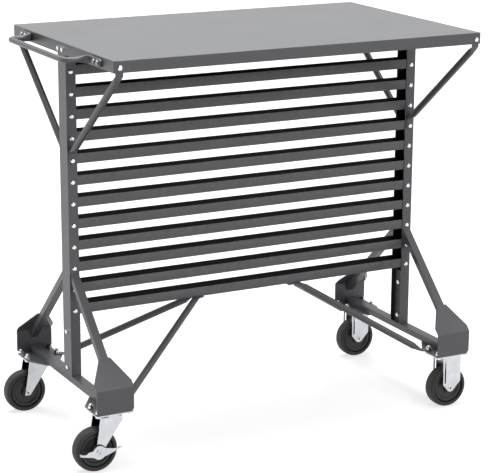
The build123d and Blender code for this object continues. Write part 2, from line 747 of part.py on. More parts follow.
def make_brake():
    """The two-armed brake lever on the front left axle, and the cam housing behind it."""
    x, y = axle_x["left"], side["front"] * caster_y - leg_outer
    with BuildPart() as cam:
        with BuildSketch(Plane.XZ.offset(-y)):
            with Locations((x, axle_z)):
                Circle(cam_radius)
                Circle(axle_radius, mode=Mode.SUBTRACT)
        extrude(amount=cam_thickness)
    finish(cam, "brake_cam")

    lever_y = y - cam_thickness - moving_gap
    back = [(x - u * lever_back_reach, axle_z + v * lever_disc_radius) for u, v in lever_back_arm_shares]
    front = [(x + u * lever_front_reach, axle_z + v * lever_disc_radius) for u, v in lever_front_arm_shares]
    pad_z = axle_z + lever_front_arm_shares[3][1] * lever_disc_radius - lever_pad_thickness / 2
    with BuildPart() as lever:
        with BuildSketch(Plane.XZ.offset(-lever_y)):
            with Locations((x, axle_z)):
                Circle(lever_disc_radius)
            for arm in (back, front):
                with BuildLine():
                    Polyline(*arm, close=True)
                make_face()
            with Locations((x, axle_z)):
                Circle(axle_radius + running_clearance, mode=Mode.SUBTRACT)
        extrude(amount=lever_thickness)
        with BuildSketch(Plane.XZ.offset(-lever_y)):
            with Locations((x + lever_front_reach, pad_z)):
                Rectangle(lever_pad_length, lever_pad_thickness)
        extrude(amount=lever_pad_depth)
    finish(lever, "brake_lever")


os.makedirs("parts", exist_ok=True)
make_worktop()
make_rail_screws()
make_handle()
make_skirt_bolts()
make_frame_bolts()
make_caster_bolts()
for rail_number in range(1, rail_count + 1):
    make_rail(rail_number)
for cart_end in outward:
    make_post(cart_end)
    make_foot(cart_end)
for cart_face, cart_end in corners:
    make_top_brace(cart_face, cart_end)
    make_leg_brace(cart_face, cart_end)
    make_corner_bracket(cart_face, cart_end)
    make_cross_brace(cart_face, cart_end)
    make_axle(cart_face, cart_end)
    make_wheel(cart_face, cart_end)
for cart_face in side:
    make_swivel_caster(cart_face)
    make_rigid_fork(cart_face)
make_brake()
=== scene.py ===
from math import cos, pi, radians, sin, sqrt

import bmesh
import bpy
from mathutils import Matrix, Vector


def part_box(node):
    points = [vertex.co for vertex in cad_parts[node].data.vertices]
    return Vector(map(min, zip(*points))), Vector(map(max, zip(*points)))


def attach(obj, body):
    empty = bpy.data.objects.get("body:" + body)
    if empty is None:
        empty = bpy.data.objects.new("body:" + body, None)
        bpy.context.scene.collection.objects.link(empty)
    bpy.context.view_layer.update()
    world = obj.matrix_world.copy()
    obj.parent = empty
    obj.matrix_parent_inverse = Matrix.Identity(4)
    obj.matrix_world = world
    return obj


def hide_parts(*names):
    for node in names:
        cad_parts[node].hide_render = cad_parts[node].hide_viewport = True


# The looks of the mobile bin cart, built over its CAD frame. All lengths are in
# metres. X runs along the cart with the handle at -X, Y across it with the bin
# side at -Y, and Z up from the floor.

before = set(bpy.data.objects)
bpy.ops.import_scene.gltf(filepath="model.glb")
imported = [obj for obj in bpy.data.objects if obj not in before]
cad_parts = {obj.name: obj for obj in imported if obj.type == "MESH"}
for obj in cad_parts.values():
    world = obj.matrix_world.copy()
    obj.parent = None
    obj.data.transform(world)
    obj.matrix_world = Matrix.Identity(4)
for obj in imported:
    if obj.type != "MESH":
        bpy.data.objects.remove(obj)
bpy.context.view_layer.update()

MM = 0.001
ACROSS_CART = Vector((0, 1, 0))
UP = Vector((0, 0, 1))

# Sizes that the new pieces share with the frame
ENDS = {"left": -1, "right": 1}
FACES = {"front": -1, "back": 1}
CORNERS = [(face, end) for end in ENDS for face in FACES]
WORKTOP_LOW, WORKTOP_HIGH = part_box("worktop")
CENTRE_X = (WORKTOP_LOW.x + WORKTOP_HIGH.x) / 2
SKIRT_SHEET = 1.5 * MM
SKIRT_BOLT_Z = WORKTOP_HIGH.z - 15.5 * MM
SKIRT_BOLT_SPREAD = 12.0 * MM

POST_WALL = 2.0 * MM
POST_HALF_WIDTH = 12.0 * MM
POST_X = {end: sum(corner.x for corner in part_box(f"{end}_post")) / 2 for end in ENDS}
POST_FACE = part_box("left_post")[1].y
POST_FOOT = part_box("left_post")[0].z
UPRIGHT_DEPTH = 12.0 * MM
UPRIGHT_BOLT_RISES = (18.0 * MM, 105.0 * MM)

RAIL_WALL = 1.2 * MM
RAIL_FOLD_RADIUS = 0.5 * MM
RAIL_COUNT = 12
RAIL_PITCH = 50.8 * MM
RAIL_FLOORS = [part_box(f"rail_{number + 1:02d}")[0].z for number in range(RAIL_COUNT)]
SCREW_RISE = 8.6 * MM
SCREW_LEVELS = [floor + SCREW_RISE for floor in RAIL_FLOORS]

LUG_WIDTH = 18.0 * MM
LUG_THICKNESS = 2.5 * MM
LUG_RUN = 18.0 * MM
STRUT_TAPER = 24.0 * MM
STRUT_RADIUS = 8.0 * MM
TOP_BRACE_RAIL = 5
LEG_BRACE_RAIL = 11
CROSS_BRACE_REACH = 123.0 * MM
CROSS_BRACE_Y = 9.5 * MM + POST_WALL - POST_FACE

HANDLE_Z = WORKTOP_HIGH.z - 13.4 * MM
HANDLE_RADIUS = 6.5 * MM
HANDLE_LEG_Y = 167.5 * MM
HANDLE_LEG_BEND = 15.0 * MM
HANDLE_CORNER_BEND = 18.0 * MM
EAR_LENGTH = 67.5 * MM
EAR_THICKNESS = 6.0 * MM
EAR_HALF_HEIGHT = 9.0 * MM
EAR_BOLT_INSET = 11.5 * MM
EAR_BOLT_PITCH = 20.5 * MM

BRACKET_FLOOR = 139.7 * MM
PLATE_BOTTOM = 133.7 * MM
PLATE_PITCH = (76.2 * MM, 43.5 * MM)
CASTER_Y = 218.0 * MM
AXLE_Z = 50.8 * MM
AXLE_X = {"left": POST_X["left"] - 39.9 * MM, "right": POST_X["right"]}

# How square a section is: 2 is a circle or an ellipse, and more is nearer a rectangle
ROUND, PRESSED = 2.0, 7.0

# How far into a wall a face has to lie to count as inside, as a share of the wall
INSIDE_SHARE = 0.8


# Node trees


VECTOR, COLOUR, VALUE = "NodeSocketVector", "NodeSocketColor", "NodeSocketFloat"
COUNT, GEOMETRY, MATERIAL = "NodeSocketInt", "NodeSocketGeometry", "NodeSocketMaterial"

# The places of a Mix node's two inputs and its output, by what it mixes
MIX_SOCKETS = {"RGBA": (6, 7, 2), "FLOAT": (2, 3, 0)}


class NodeSheet:
    """Places shader or geometry nodes in one tree and links them."""

    def __init__(self, tree):
        self.tree = tree

    def add(self, kind, settings=None, **values):
        """Adds a node, sets its properties and fills or links its named inputs."""
        node = self.tree.nodes.new(kind)
        for name, value in (settings or {}).items():
            setattr(node, name, value)
        for name, value in values.items():
            self.feed(node, name.replace("_", " "), value)
        return node

    def feed(self, node, name, value):
        """Links a socket to an input, given by its name or place, or sets the input's own value."""
        if isinstance(name, int):
            socket = node.inputs[name]
        else:
            socket = next(s for s in node.inputs if s.name == name and s.enabled)
        if isinstance(value, bpy.types.NodeSocket):
            self.tree.links.new(value, socket)
        else:
            socket.default_value = value

    def math(self, operation, first, second=None, clamp=False):
        """Adds a Math node and returns its value."""
        node = self.add("ShaderNodeMath", {"operation": operation, "use_clamp": clamp})
        self.feed(node, 0, first)
        if second is not None:
            self.feed(node, 1, second)
        return node.outputs[0]

    def mix(self, share, first, second, kind="RGBA"):
        """Mixes two colours, or two values with the kind FLOAT, by a share and returns the result."""
        low, high, result = MIX_SOCKETS[kind]
        node = self.add("ShaderNodeMix", {"data_type": kind})
        for place, value in ((0, share), (low, first), (high, second)):
            self.feed(node, place, value)
        return node.outputs[result]

    def spread(self, value, low, high, to_low=0.0, to_high=1.0):
        """Maps a value from one range to another, held at the ends."""
        node = self.add("ShaderNodeMapRange", {"clamp": True})
        for place, setting in enumerate((value, low, high, to_low, to_high)):
            self.feed(node, place, setting)
        return node.outputs[0]

    def noise(self, vector, scale, detail, roughness=0.5):
        """Adds a noise texture and returns its value."""
        node = self.add("ShaderNodeTexNoise", Vector=vector, Scale=scale, Detail=detail,
                        Roughness=roughness)
        return node.outputs[0]


def start_group(kind, name, inputs, outputs):
    """Starts a node group with named sockets and returns its sheet, inputs and result node."""
    group = bpy.data.node_groups.new(name, kind)
    for side, sockets in (("INPUT", inputs), ("OUTPUT", outputs)):
        for label, socket_kind in sockets.items():
            group.interface.new_socket(name=label, in_out=side, socket_type=socket_kind)
    sheet = NodeSheet(group)
    return sheet, sheet.add("NodeGroupInput").outputs, sheet.add("NodeGroupOutput")


# Effects that the finishes share


def mottled_coat_group():
    """Slow and quick changes of tone over a sprayed or plated surface."""
    sheet, given, result = start_group(
        "ShaderNodeTree", "mottled_finish",
        {"Vector": VECTOR, "Colour": COLOUR, "Second Colour": COLOUR, "Patch Scale": VALUE,
         "Speckle Scale": VALUE, "Speckle Amount": VALUE, "Low Roughness": VALUE, "High Roughness": VALUE},
        {"Colour": COLOUR, "Roughness": VALUE})
    patches = sheet.noise(given["Vector"], given["Patch Scale"], detail=4.0)
    patches = sheet.spread(patches, low=0.32, high=0.68)
    specks = sheet.noise(given["Vector"], given["Speckle Scale"], detail=2.0)
    specks = sheet.spread(specks, low=0.35, high=0.65)
    tone = sheet.mix(given["Speckle Amount"], patches, specks, "FLOAT")
    sheet.feed(result, "Colour", sheet.mix(tone, given["Colour"], given["Second Colour"]))
    sheet.feed(result, "Roughness", sheet.spread(tone, low=0.0, high=1.0, to_low=given["Low Roughness"],
                                                 to_high=given["High Roughness"]))
    return sheet.tree


def worn_edge_group():
    """A paler, smoother line along the folds and cut edges, broken up by handling. On the rails the same mix
    makes each face paler towards its top.
    """
    sheet, given, result = start_group(
        "ShaderNodeTree", "worn_edge",
        {"Vector": VECTOR, "Colour": COLOUR, "Worn Colour": COLOUR, "Edge": VALUE, "Break Scale": VALUE,
         "Amount": VALUE, "Roughness": VALUE, "Worn Roughness": VALUE},
        {"Colour": COLOUR, "Roughness": VALUE})
    breaks = sheet.noise(given["Vector"], given["Break Scale"], detail=5.0, roughness=0.6)
    breaks = sheet.spread(breaks, low=0.38, high=0.62, to_low=0.25)
    mask = sheet.math("MULTIPLY", sheet.math("MULTIPLY", given["Edge"], breaks), given["Amount"], clamp=True)
    sheet.feed(result, "Colour", sheet.mix(mask, given["Colour"], given["Worn Colour"]))
    sheet.feed(result, "Roughness", sheet.spread(mask, low=0.0, high=1.0, to_low=given["Roughness"],
                                                 to_high=given["Worn Roughness"]))
    return sheet.tree


def settled_dust_group():
    """A thin pale film on faces that look up, thicker in patches and duller than the coat."""
    sheet, given, result = start_group(
        "ShaderNodeTree", "settled_dust",
        {"Vector": VECTOR, "Colour": COLOUR, "Dust Colour": COLOUR, "Amount": VALUE, "Patch Scale": VALUE,
         "Roughness": VALUE},
        {"Colour": COLOUR, "Roughness": VALUE})
    normal = sheet.add("ShaderNodeNewGeometry").outputs["Normal"]
    level = sheet.add("ShaderNodeSeparateXYZ", Vector=normal).outputs["Z"]
    level = sheet.spread(level, low=0.3, high=0.95)
    patches = sheet.noise(given["Vector"], given["Patch Scale"], detail=6.0, roughness=0.65)
    patches = sheet.spread(patches, low=0.35, high=0.7, to_low=0.15)
    film = sheet.math("MULTIPLY", sheet.math("MULTIPLY", level, patches), given["Amount"], clamp=True)
    duller = sheet.math("MULTIPLY", film, 0.25)
    sheet.feed(result, "Colour", sheet.mix(film, given["Colour"], given["Dust Colour"]))
    sheet.feed(result, "Roughness", sheet.math("ADD", given["Roughness"], duller, clamp=True))
    return sheet.tree


def fine_skin_group():
    """The height of a fine skin: orange peel with a smaller grain in it."""
    sheet, given, result = start_group(
        "ShaderNodeTree", "fine_skin",
        {"Vector": VECTOR, "Peel Scale": VALUE, "Grain Scale": VALUE, "Grain Share": VALUE},
        {"Height": VALUE})
    peel = sheet.noise(given["Vector"], given["Peel Scale"], detail=2.0)
    grain = sheet.noise(given["Vector"], given["Grain Scale"], detail=1.0)
    sheet.feed(result, "Height", sheet.mix(given["Grain Share"], peel, grain, "FLOAT"))
    return sheet.tree


MOTTLED = mottled_coat_group()
WORN_EDGE = worn_edge_group()
DUST = settled_dust_group()
SKIN = fine_skin_group()


# Finishes


def grey(level, warm=0.0):
    """A display grey from 0 to 255 as a linear colour, a little cooler or warmer."""
    def linear(value):
        """The display curve undone."""
        share = value / 255
        return share / 12.92 if share <= 0.04045 else ((share + 0.055) / 1.055) ** 2.4
    return (linear(level + 0.4 * warm), linear(level), linear(level - 1.2 * warm), 1.0)


def plain(value):
    """A linear colour without a tint."""
    return (value, value, value, 1.0)


def start_material(name):
    """Makes an empty node material and gives its sheet, shader and object coordinates."""
    material = bpy.data.materials.new(name)
    material.use_nodes = True
    material.node_tree.nodes.clear()
    sheet = NodeSheet(material.node_tree)
    shader = sheet.add("ShaderNodeBsdfPrincipled")
    sheet.add("ShaderNodeOutputMaterial", Surface=shader.outputs[0])
    place = sheet.add("ShaderNodeTexCoord").outputs["Object"]
    return material, sheet, shader, place


def place_group(sheet, group, **values):
    """Places a shared effect in a material with the material's own values."""
    return sheet.add("ShaderNodeGroup", {"node_tree": group}, **values).outputs


def finish_surface(name, slot, colour, second, patch_scale, speckle_scale, speckle, roughness, worn,
                   worn_roughness, wear, dust, skin_scales, grain_share, skin_height, painted_shade_and_dim_bolts=None,
                   metallic=0.0):
    """A finish of mottled colour, worn edges, dust and a fine skin, returned with the name of its slot."""
    material, sheet, shader, place = start_material(name)
    edge = sheet.add("ShaderNodeAttribute", {"attribute_name": "edge"}).outputs["Fac"]
    coat = place_group(sheet, MOTTLED, Vector=place, Colour=colour, Second_Colour=second,
                       Patch_Scale=patch_scale, Speckle_Scale=speckle_scale, Speckle_Amount=speckle,
                       Low_Roughness=roughness[0], High_Roughness=roughness[1])
    rubbed = place_group(sheet, WORN_EDGE, Vector=place, Colour=coat["Colour"], Worn_Colour=worn,
                         Edge=edge, Break_Scale=70.0, Amount=wear, Roughness=coat["Roughness"],
                         Worn_Roughness=worn_roughness)
    dusty = place_group(sheet, DUST, Vector=place, Colour=rubbed["Colour"], Dust_Colour=grey(190),
                        Amount=dust, Patch_Scale=9.0, Roughness=rubbed["Roughness"])
    shown, dullness = dusty["Colour"], dusty["Roughness"]
    # Painted shade: faces that a piece marks take the finish's dark grey and a duller gloss, standing in for
    # the shade inside channels, hollows and forks; the handle's four bolts are dimmed by the same mix.
    if painted_shade_and_dim_bolts is not None:
        painted_shade_and_bolt_share = sheet.add("ShaderNodeAttribute", {"attribute_name": "painted_shade_and_dim_bolts"}).outputs["Fac"]
        shown = sheet.mix(painted_shade_and_bolt_share, shown, painted_shade_and_dim_bolts)
        dullness = sheet.math("ADD", dullness, sheet.math("MULTIPLY", painted_shade_and_bolt_share, 0.4), clamp=True)
    skin = place_group(sheet, SKIN, Vector=place, Peel_Scale=skin_scales[0], Grain_Scale=skin_scales[1],
                       Grain_Share=grain_share)
    bump = sheet.add("ShaderNodeBump", Height=skin["Height"], Strength=1.0, Distance=skin_height)
    sheet.feed(shader, "Base Color", shown)
    sheet.feed(shader, "Roughness", dullness)
    sheet.feed(shader, "Metallic", metallic)
    sheet.feed(shader, "Normal", bump.outputs[0])
    return material, slot


# The last dark grey given to a finish is the painted shade for the faces that a piece marks.
COAT = finish_surface(
    "satin_grey_coat", "grey_powder_coat", colour=grey(91, -2.5), second=grey(98, -2.5),
    patch_scale=3.5, speckle_scale=420.0, speckle=0.3, roughness=(0.34, 0.42),
    worn=grey(128, -2), worn_roughness=0.3, wear=0.5, dust=0.05,
    skin_scales=(650.0, 2200.0), grain_share=0.3, skin_height=0.04 * MM, painted_shade_and_dim_bolts=grey(18))
ZINC = finish_surface(
    "bright_zinc", "zinc_plate", colour=(0.60, 0.61, 0.635, 1.0), second=(0.50, 0.51, 0.54, 1.0),
    patch_scale=45.0, speckle_scale=700.0, speckle=0.35, roughness=(0.22, 0.38),
    worn=(0.78, 0.78, 0.80, 1.0), worn_roughness=0.2, wear=0.7, dust=0.03,
    skin_scales=(260.0, 1500.0), grain_share=0.45, skin_height=0.03 * MM, painted_shade_and_dim_bolts=grey(12), metallic=1.0)
FASTENER_ZINC = finish_surface(
    "bright_fasteners", "zinc_plate", colour=(0.76, 0.77, 0.79, 1.0), second=(0.66, 0.67, 0.70, 1.0),
    patch_scale=160.0, speckle_scale=900.0, speckle=0.3, roughness=(0.10, 0.2),
    worn=(0.82, 0.82, 0.84, 1.0), worn_roughness=0.2, wear=0.6, dust=0.03,
    skin_scales=(500.0, 1800.0), grain_share=0.4, skin_height=0.01 * MM, painted_shade_and_dim_bolts=grey(12), metallic=1.0)
RUBBER = finish_surface(
    "black_rubber", "tyre_rubber", colour=grey(42), second=grey(52),
    patch_scale=30.0, speckle_scale=900.0, speckle=0.4, roughness=(0.55, 0.72),
    worn=grey(58), worn_roughness=0.6, wear=0.6, dust=0.06,
    skin_scales=(900.0, 2600.0), grain_share=0.5, skin_height=0.08 * MM)
CORE_PLASTIC = finish_surface(
    "moulded_core", "wheel_core_plastic", colour=grey(28), second=grey(36),
    patch_scale=22.0, speckle_scale=600.0, speckle=0.3, roughness=(0.4, 0.55),
    worn=grey(60), worn_roughness=0.4, wear=0.5, dust=0.06,
    skin_scales=(500.0, 2000.0), grain_share=0.3, skin_height=0.05 * MM)
HOUSING_PLASTIC = finish_surface(
    "moulded_housing", "brake_housing_plastic", colour=grey(20), second=grey(27),
    patch_scale=40.0, speckle_scale=700.0, speckle=0.3, roughness=(0.4, 0.5),
    worn=grey(48), worn_roughness=0.35, wear=0.5, dust=0.05,
    skin_scales=(700.0, 2400.0), grain_share=0.4, skin_height=0.05 * MM)


# Mesh helpers


def blend(first, second, share):
    """A number between two others, by its share of the way to the second."""
    return first + (second - first) * share


def eased(share):
    """A share held between 0 and 1 that starts and ends slowly."""
    share = min(1.0, max(0.0, share))
    return share * share * (3 - 2 * share)


def mark_faces(mesh, name, share_of):
    """Writes a face attribute that the finishes read, from a function of the face."""
    attribute = mesh.attributes.get(name) or mesh.attributes.new(name, "FLOAT", "FACE")
    attribute.data.foreach_set("value", [float(share_of(face)) for face in mesh.polygons])


def shade_smooth(mesh):
    """Smooth shading on every face."""
    mesh.polygons.foreach_set("use_smooth", [True] * len(mesh.polygons))


def smooth_by_angle(mesh, angle):
    """Smooth shading, with a crease wherever faces meet at more than an angle."""
    shade_smooth(mesh)
    mesh.set_sharp_from_angle(angle=radians(angle))


def put_in_scene(name, data):
    """Makes an object from a mesh, lamp or camera and links it to the scene."""
    thing = bpy.data.objects.new(name, data)
    bpy.context.scene.collection.objects.link(thing)
    return thing


def add_piece(name, mesh, body, finish, replaced):
    """Puts a finished mesh in the scene, on its body, in place of its CAD nodes."""
    material, slot = finish
    mesh.materials.clear()
    mesh.materials.append(material)
    for face in mesh.polygons:
        face.material_index = 0
    piece = put_in_scene(name, mesh)
    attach(piece, body)
    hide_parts(*replaced)


def show_node(node, mesh, body, finish):
    """Puts a finished mesh in the scene in place of one CAD node."""
    add_piece(f"{node}_shown", mesh, body, finish, [node])


def evaluated_mesh(piece):
    """The plain mesh that an object's modifiers give, with the object removed."""
    bpy.context.view_layer.update()
    graph = bpy.context.evaluated_depsgraph_get()
    mesh = bpy.data.meshes.new_from_object(piece.evaluated_get(graph), depsgraph=graph)
    bpy.data.objects.remove(piece)
    return mesh


def round_edges(mesh, width, steps=2):
    """Rounds the hard edges of a closed mesh and marks the new faces as edge."""
    hard_angle = 35
    old_faces, new_faces = 0, 1
    mesh.materials.clear()
    for number in (old_faces, new_faces):
        mesh.materials.append(None)
    blank = put_in_scene("blank", mesh)
    bevel = blank.modifiers.new("rounded", "BEVEL")
    bevel.width = width
    bevel.segments = steps
    bevel.limit_method = "ANGLE"
    bevel.angle_limit = radians(hard_angle)
    bevel.material = new_faces
    weighted = blank.modifiers.new("weighted", "WEIGHTED_NORMAL")
    weighted.keep_sharp = True
    shade_smooth(mesh)
    rounded = evaluated_mesh(blank)
    mark_faces(rounded, "edge", lambda face: face.material_index == new_faces)
    return rounded


def merged_copy(node):
    """A CAD node's mesh with its triangles joined and its flat faces cleaned."""
    shape = bmesh.new()
    shape.from_mesh(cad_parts[node].data)
    bmesh.ops.remove_doubles(shape, verts=shape.verts, dist=0.002 * MM)
    bmesh.ops.dissolve_limit(shape, angle_limit=radians(0.4), verts=shape.verts, edges=shape.edges)
    mesh = bpy.data.meshes.new(node)
    shape.to_mesh(mesh)
    shape.free()
    return mesh


def dress(node, body, finish, width, painted_shade_and_dim_bolts=None):
    """A CAD node carried over with edges rounded to a width and worn along them."""
    mesh = round_edges(merged_copy(node), width)
    # Faces that the given test picks get painted shade.
    if painted_shade_and_dim_bolts is not None:
        mark_faces(mesh, "painted_shade_and_dim_bolts", painted_shade_and_dim_bolts)
    show_node(node, mesh, body, finish)


def mesh_from(points, faces, name):
    """A mesh from points and faces, closed up and turned outwards."""
    mesh = bpy.data.meshes.new(name)
    mesh.from_pydata(points, [], faces)
    shape = bmesh.new()
    shape.from_mesh(mesh)
    bmesh.ops.remove_doubles(shape, verts=shape.verts, dist=0.0001 * MM)
    bmesh.ops.recalc_face_normals(shape, faces=shape.faces)
    shape.to_mesh(mesh)
    shape.free()
    return mesh


def ring(centre, across, up, wide, tall, squareness):
    """One closed section, from its half width, half height and squareness."""
    steps = 32
    points = []
    for i in range(steps):
        turn = 2 * pi * (i + 0.5) / steps
        c, s = cos(turn), sin(turn)
        a = wide * (1 if c >= 0 else -1) * abs(c) ** (2 / squareness)
        b = tall * (1 if s >= 0 else -1) * abs(s) ** (2 / squareness)
        points.append(centre + across * a + up * b)
    return points


def skin_over(sections, name):
    """A closed skin over a row of sections with the same number of points."""
    count = len(sections[0])
    points = [point for section in sections for point in section]
    faces = []
    for row in range(len(sections) - 1):
        here, onward = row * count, (row + 1) * count
        for i in range(count):
            j = (i + 1) % count
            faces.append((here + i, here + j, onward + j, onward + i))
    faces.append(tuple(range(count)))
    faces.append(tuple(range((len(sections) - 1) * count, len(sections) * count)))
    return mesh_from(points, faces, name)


def rounded_corners(points, radius, steps):
    """A closed flat outline with each corner cut to an arc, or less where its runs are short."""
    longest_cut = 0.45
    points = [Vector(point) for point in points]
    result = []
    for i, corner in enumerate(points):
        before, after = points[i - 1] - corner, points[(i + 1) % len(points)] - corner
        cut = min(radius, before.length * longest_cut, after.length * longest_cut)
        start, end = corner + before.normalized() * cut, corner + after.normalized() * cut
        for step in range(steps + 1):
            t = step / steps
            result.append(start * (1 - t) ** 2 + corner * 2 * t * (1 - t) + end * t ** 2)
    return result


def mirrored(half):
    """A closed profile of (radius, height) from its upper half, mirrored below height 0."""
    return half + [(radius, -height) for radius, height in reversed(half) if height]


def turned(profile, centre, axis, name, steps):
    """A closed profile of (radius, height) in millimetres turned about an axis through a centre."""
    side = axis.orthogonal().normalized()
    other = axis.cross(side)
    points, faces = [], []
    count = len(profile)
    for i in range(steps):
        turn = 2 * pi * i / steps
        way = side * cos(turn) + other * sin(turn)
        points += [centre + (way * radius + axis * height) * MM for radius, height in profile]
    for i in range(steps):
        j = (i + 1) % steps
        for k in range(count):
            m = (k + 1) % count
            faces.append((i * count + k, i * count + m, j * count + m, j * count + k))
    return mesh_from(points, faces, name)


def slab(outline, low, high, name):
    """A flat outline in X and Z given a thickness along Y."""
    count = len(outline)
    points = [(u, y, v) for y in (low, high) for u, v in outline]
    faces = [tuple(range(count)), tuple(range(count, 2 * count))]
    faces += [(i, (i + 1) % count, count + (i + 1) % count, count + i) for i in range(count)]
    return mesh_from(points, faces, name)


def joined(meshes, name):
    """Several closed meshes as one, their attributes kept."""
    pieces = [put_in_scene(name, mesh) for mesh in meshes]
    with bpy.context.temp_override(active_object=pieces[0], object=pieces[0], selected_objects=pieces,
                                   selected_editable_objects=pieces):
        bpy.ops.object.join()
    mesh = pieces[0].data
    bpy.data.objects.remove(pieces[0])
    return mesh


# Repeated pieces, made with geometry nodes


def grown(tree, base, values):
    """The plain mesh that a geometry node tree makes from a base mesh and its input values."""
    piece = put_in_scene("base", base)
    modifier = piece.modifiers.new("made", "NODES")
    modifier.node_group = tree
    for item in tree.interface.items_tree:
        if item.item_type == "SOCKET" and item.in_out == "INPUT" and item.name in values:
            modifier[item.identifier] = values[item.name]
    return evaluated_mesh(piece)


def vector(sheet, **parts):
    """A vector from its X, Y and Z, each 0 unless given."""
    return sheet.add("ShaderNodeCombineXYZ", **parts).outputs[0]


def join(sheet, *parts):
    """Joins geometry and returns it."""
    node = sheet.add("GeometryNodeJoinGeometry")
    for part in parts:
        sheet.feed(node, 0, part)
    return node.outputs[0]


def finish_tree(sheet, result, geometry, material):
    """Ends a geometry tree: instances made real, with their material set."""
    real = sheet.add("GeometryNodeRealizeInstances", Geometry=geometry).outputs[0]
    sheet.feed(result, 0, sheet.add("GeometryNodeSetMaterial", Geometry=real, Material=material).outputs[0])
    return sheet.tree


def stepped_head(sheet, sides, radius, height, steps):
    """A head that grows in steps, each a share of the height at a share of the radius."""
    disc = sheet.add("GeometryNodeMeshCircle", {"fill_type": "NGON"}, Vertices=sides, Radius=radius)
    flat = disc.outputs[0]
    mesh, top = flat, None
    done, scale_so_far = 0.0, 1.0
    for rise, scale in steps:
        grow = sheet.add("GeometryNodeExtrudeMesh", {"mode": "FACES"}, Mesh=mesh,
                         Offset=vector(sheet, Z=1.0),
                         Offset_Scale=sheet.math("MULTIPLY", height, rise - done))
        if top is not None:
            sheet.feed(grow, "Selection", top)
        shrink = sheet.add("GeometryNodeScaleElements", {"domain": "FACE"}, Geometry=grow.outputs["Mesh"],
                           Selection=grow.outputs["Top"], Scale=scale / scale_so_far)
        mesh, top = shrink.outputs[0], grow.outputs["Top"]
        done, scale_so_far = rise, scale
    back = sheet.add("GeometryNodeFlipFaces", Mesh=flat)
    return sheet.add("GeometryNodeMergeByDistance", Geometry=join(sheet, mesh, back.outputs[0]),
                     Distance=0.001 * MM).outputs[0]


# The steps of the heads, shanks and nuts, as shares of the height and of the radius
DOME = [(0.22, 1.0), (0.45, 0.95), (0.66, 0.85), (0.84, 0.68), (0.95, 0.45), (1.0, 0.2)]
CHAMFERED = [(0.08, 1.0), (0.78, 1.0), (1.0, 0.86)]
SHANK_TIP = [(0.96, 1.0), (1.0, 0.8)]
NUT_FORM = [(0.001, 0.92), (0.12, 1.0), (0.88, 1.0), (1.0, 0.92)]
SHANK_SIDES = 20
NUT_SIDES = 6


def fastener_tree(name, head_form):
    """Fasteners at points: a head at each, a shank along 'way', and a nut past 'grip'."""
    sheet, given, result = start_group(
        "GeometryNodeTree", name,
        {"Geometry": GEOMETRY, "Head Sides": COUNT, "Head Radius": VALUE, "Head Height": VALUE,
         "Shank Radius": VALUE, "Shank Length": VALUE, "Nut Radius": VALUE, "Nut Height": VALUE,
         "Material": MATERIAL},
        {"Geometry": GEOMETRY})

    def attribute(kind, label):
        """A value that the points carry."""
        return sheet.add("GeometryNodeInputNamedAttribute", {"data_type": kind}, Name=label).outputs[0]

    def scaled(ray, scale):
        """A vector times a number."""
        return sheet.add("ShaderNodeVectorMath", {"operation": "SCALE"}, Vector=ray, Scale=scale).outputs[0]

    def facing(ray):
        """The turn that takes a fastener's own axis to a direction."""
        return sheet.add("FunctionNodeAlignRotationToVector", {"axis": "Z"}, Vector=ray).outputs[0]

    def at(points, shape, **turns):
        """A shape at every point."""
        return sheet.add("GeometryNodeInstanceOnPoints", Points=points, Instance=shape, **turns).outputs[0]

    seats = given["Geometry"]
    way, grip = attribute("FLOAT_VECTOR", "way"), attribute("FLOAT", "grip")
    onward, backward = facing(way), facing(scaled(way, -1.0))
    head = stepped_head(sheet, given["Head Sides"], given["Head Radius"], given["Head Height"], head_form)
    shank = stepped_head(sheet, SHANK_SIDES, given["Shank Radius"], 1.0, SHANK_TIP)
    nut = stepped_head(sheet, NUT_SIDES, given["Nut Radius"], given["Nut Height"], NUT_FORM)
    length = sheet.math("ADD", grip, given["Shank Length"])
    nut_seats = sheet.add("GeometryNodeSetPosition", Geometry=seats, Offset=scaled(way, grip)).outputs[0]
    heads = at(seats, head, Rotation=backward)
    shanks = at(seats, shank, Rotation=onward, Scale=vector(sheet, X=1.0, Y=1.0, Z=length))
    nuts = at(nut_seats, nut, Rotation=onward)
    return finish_tree(sheet, result, join(sheet, heads, shanks, nuts), given["Material"])


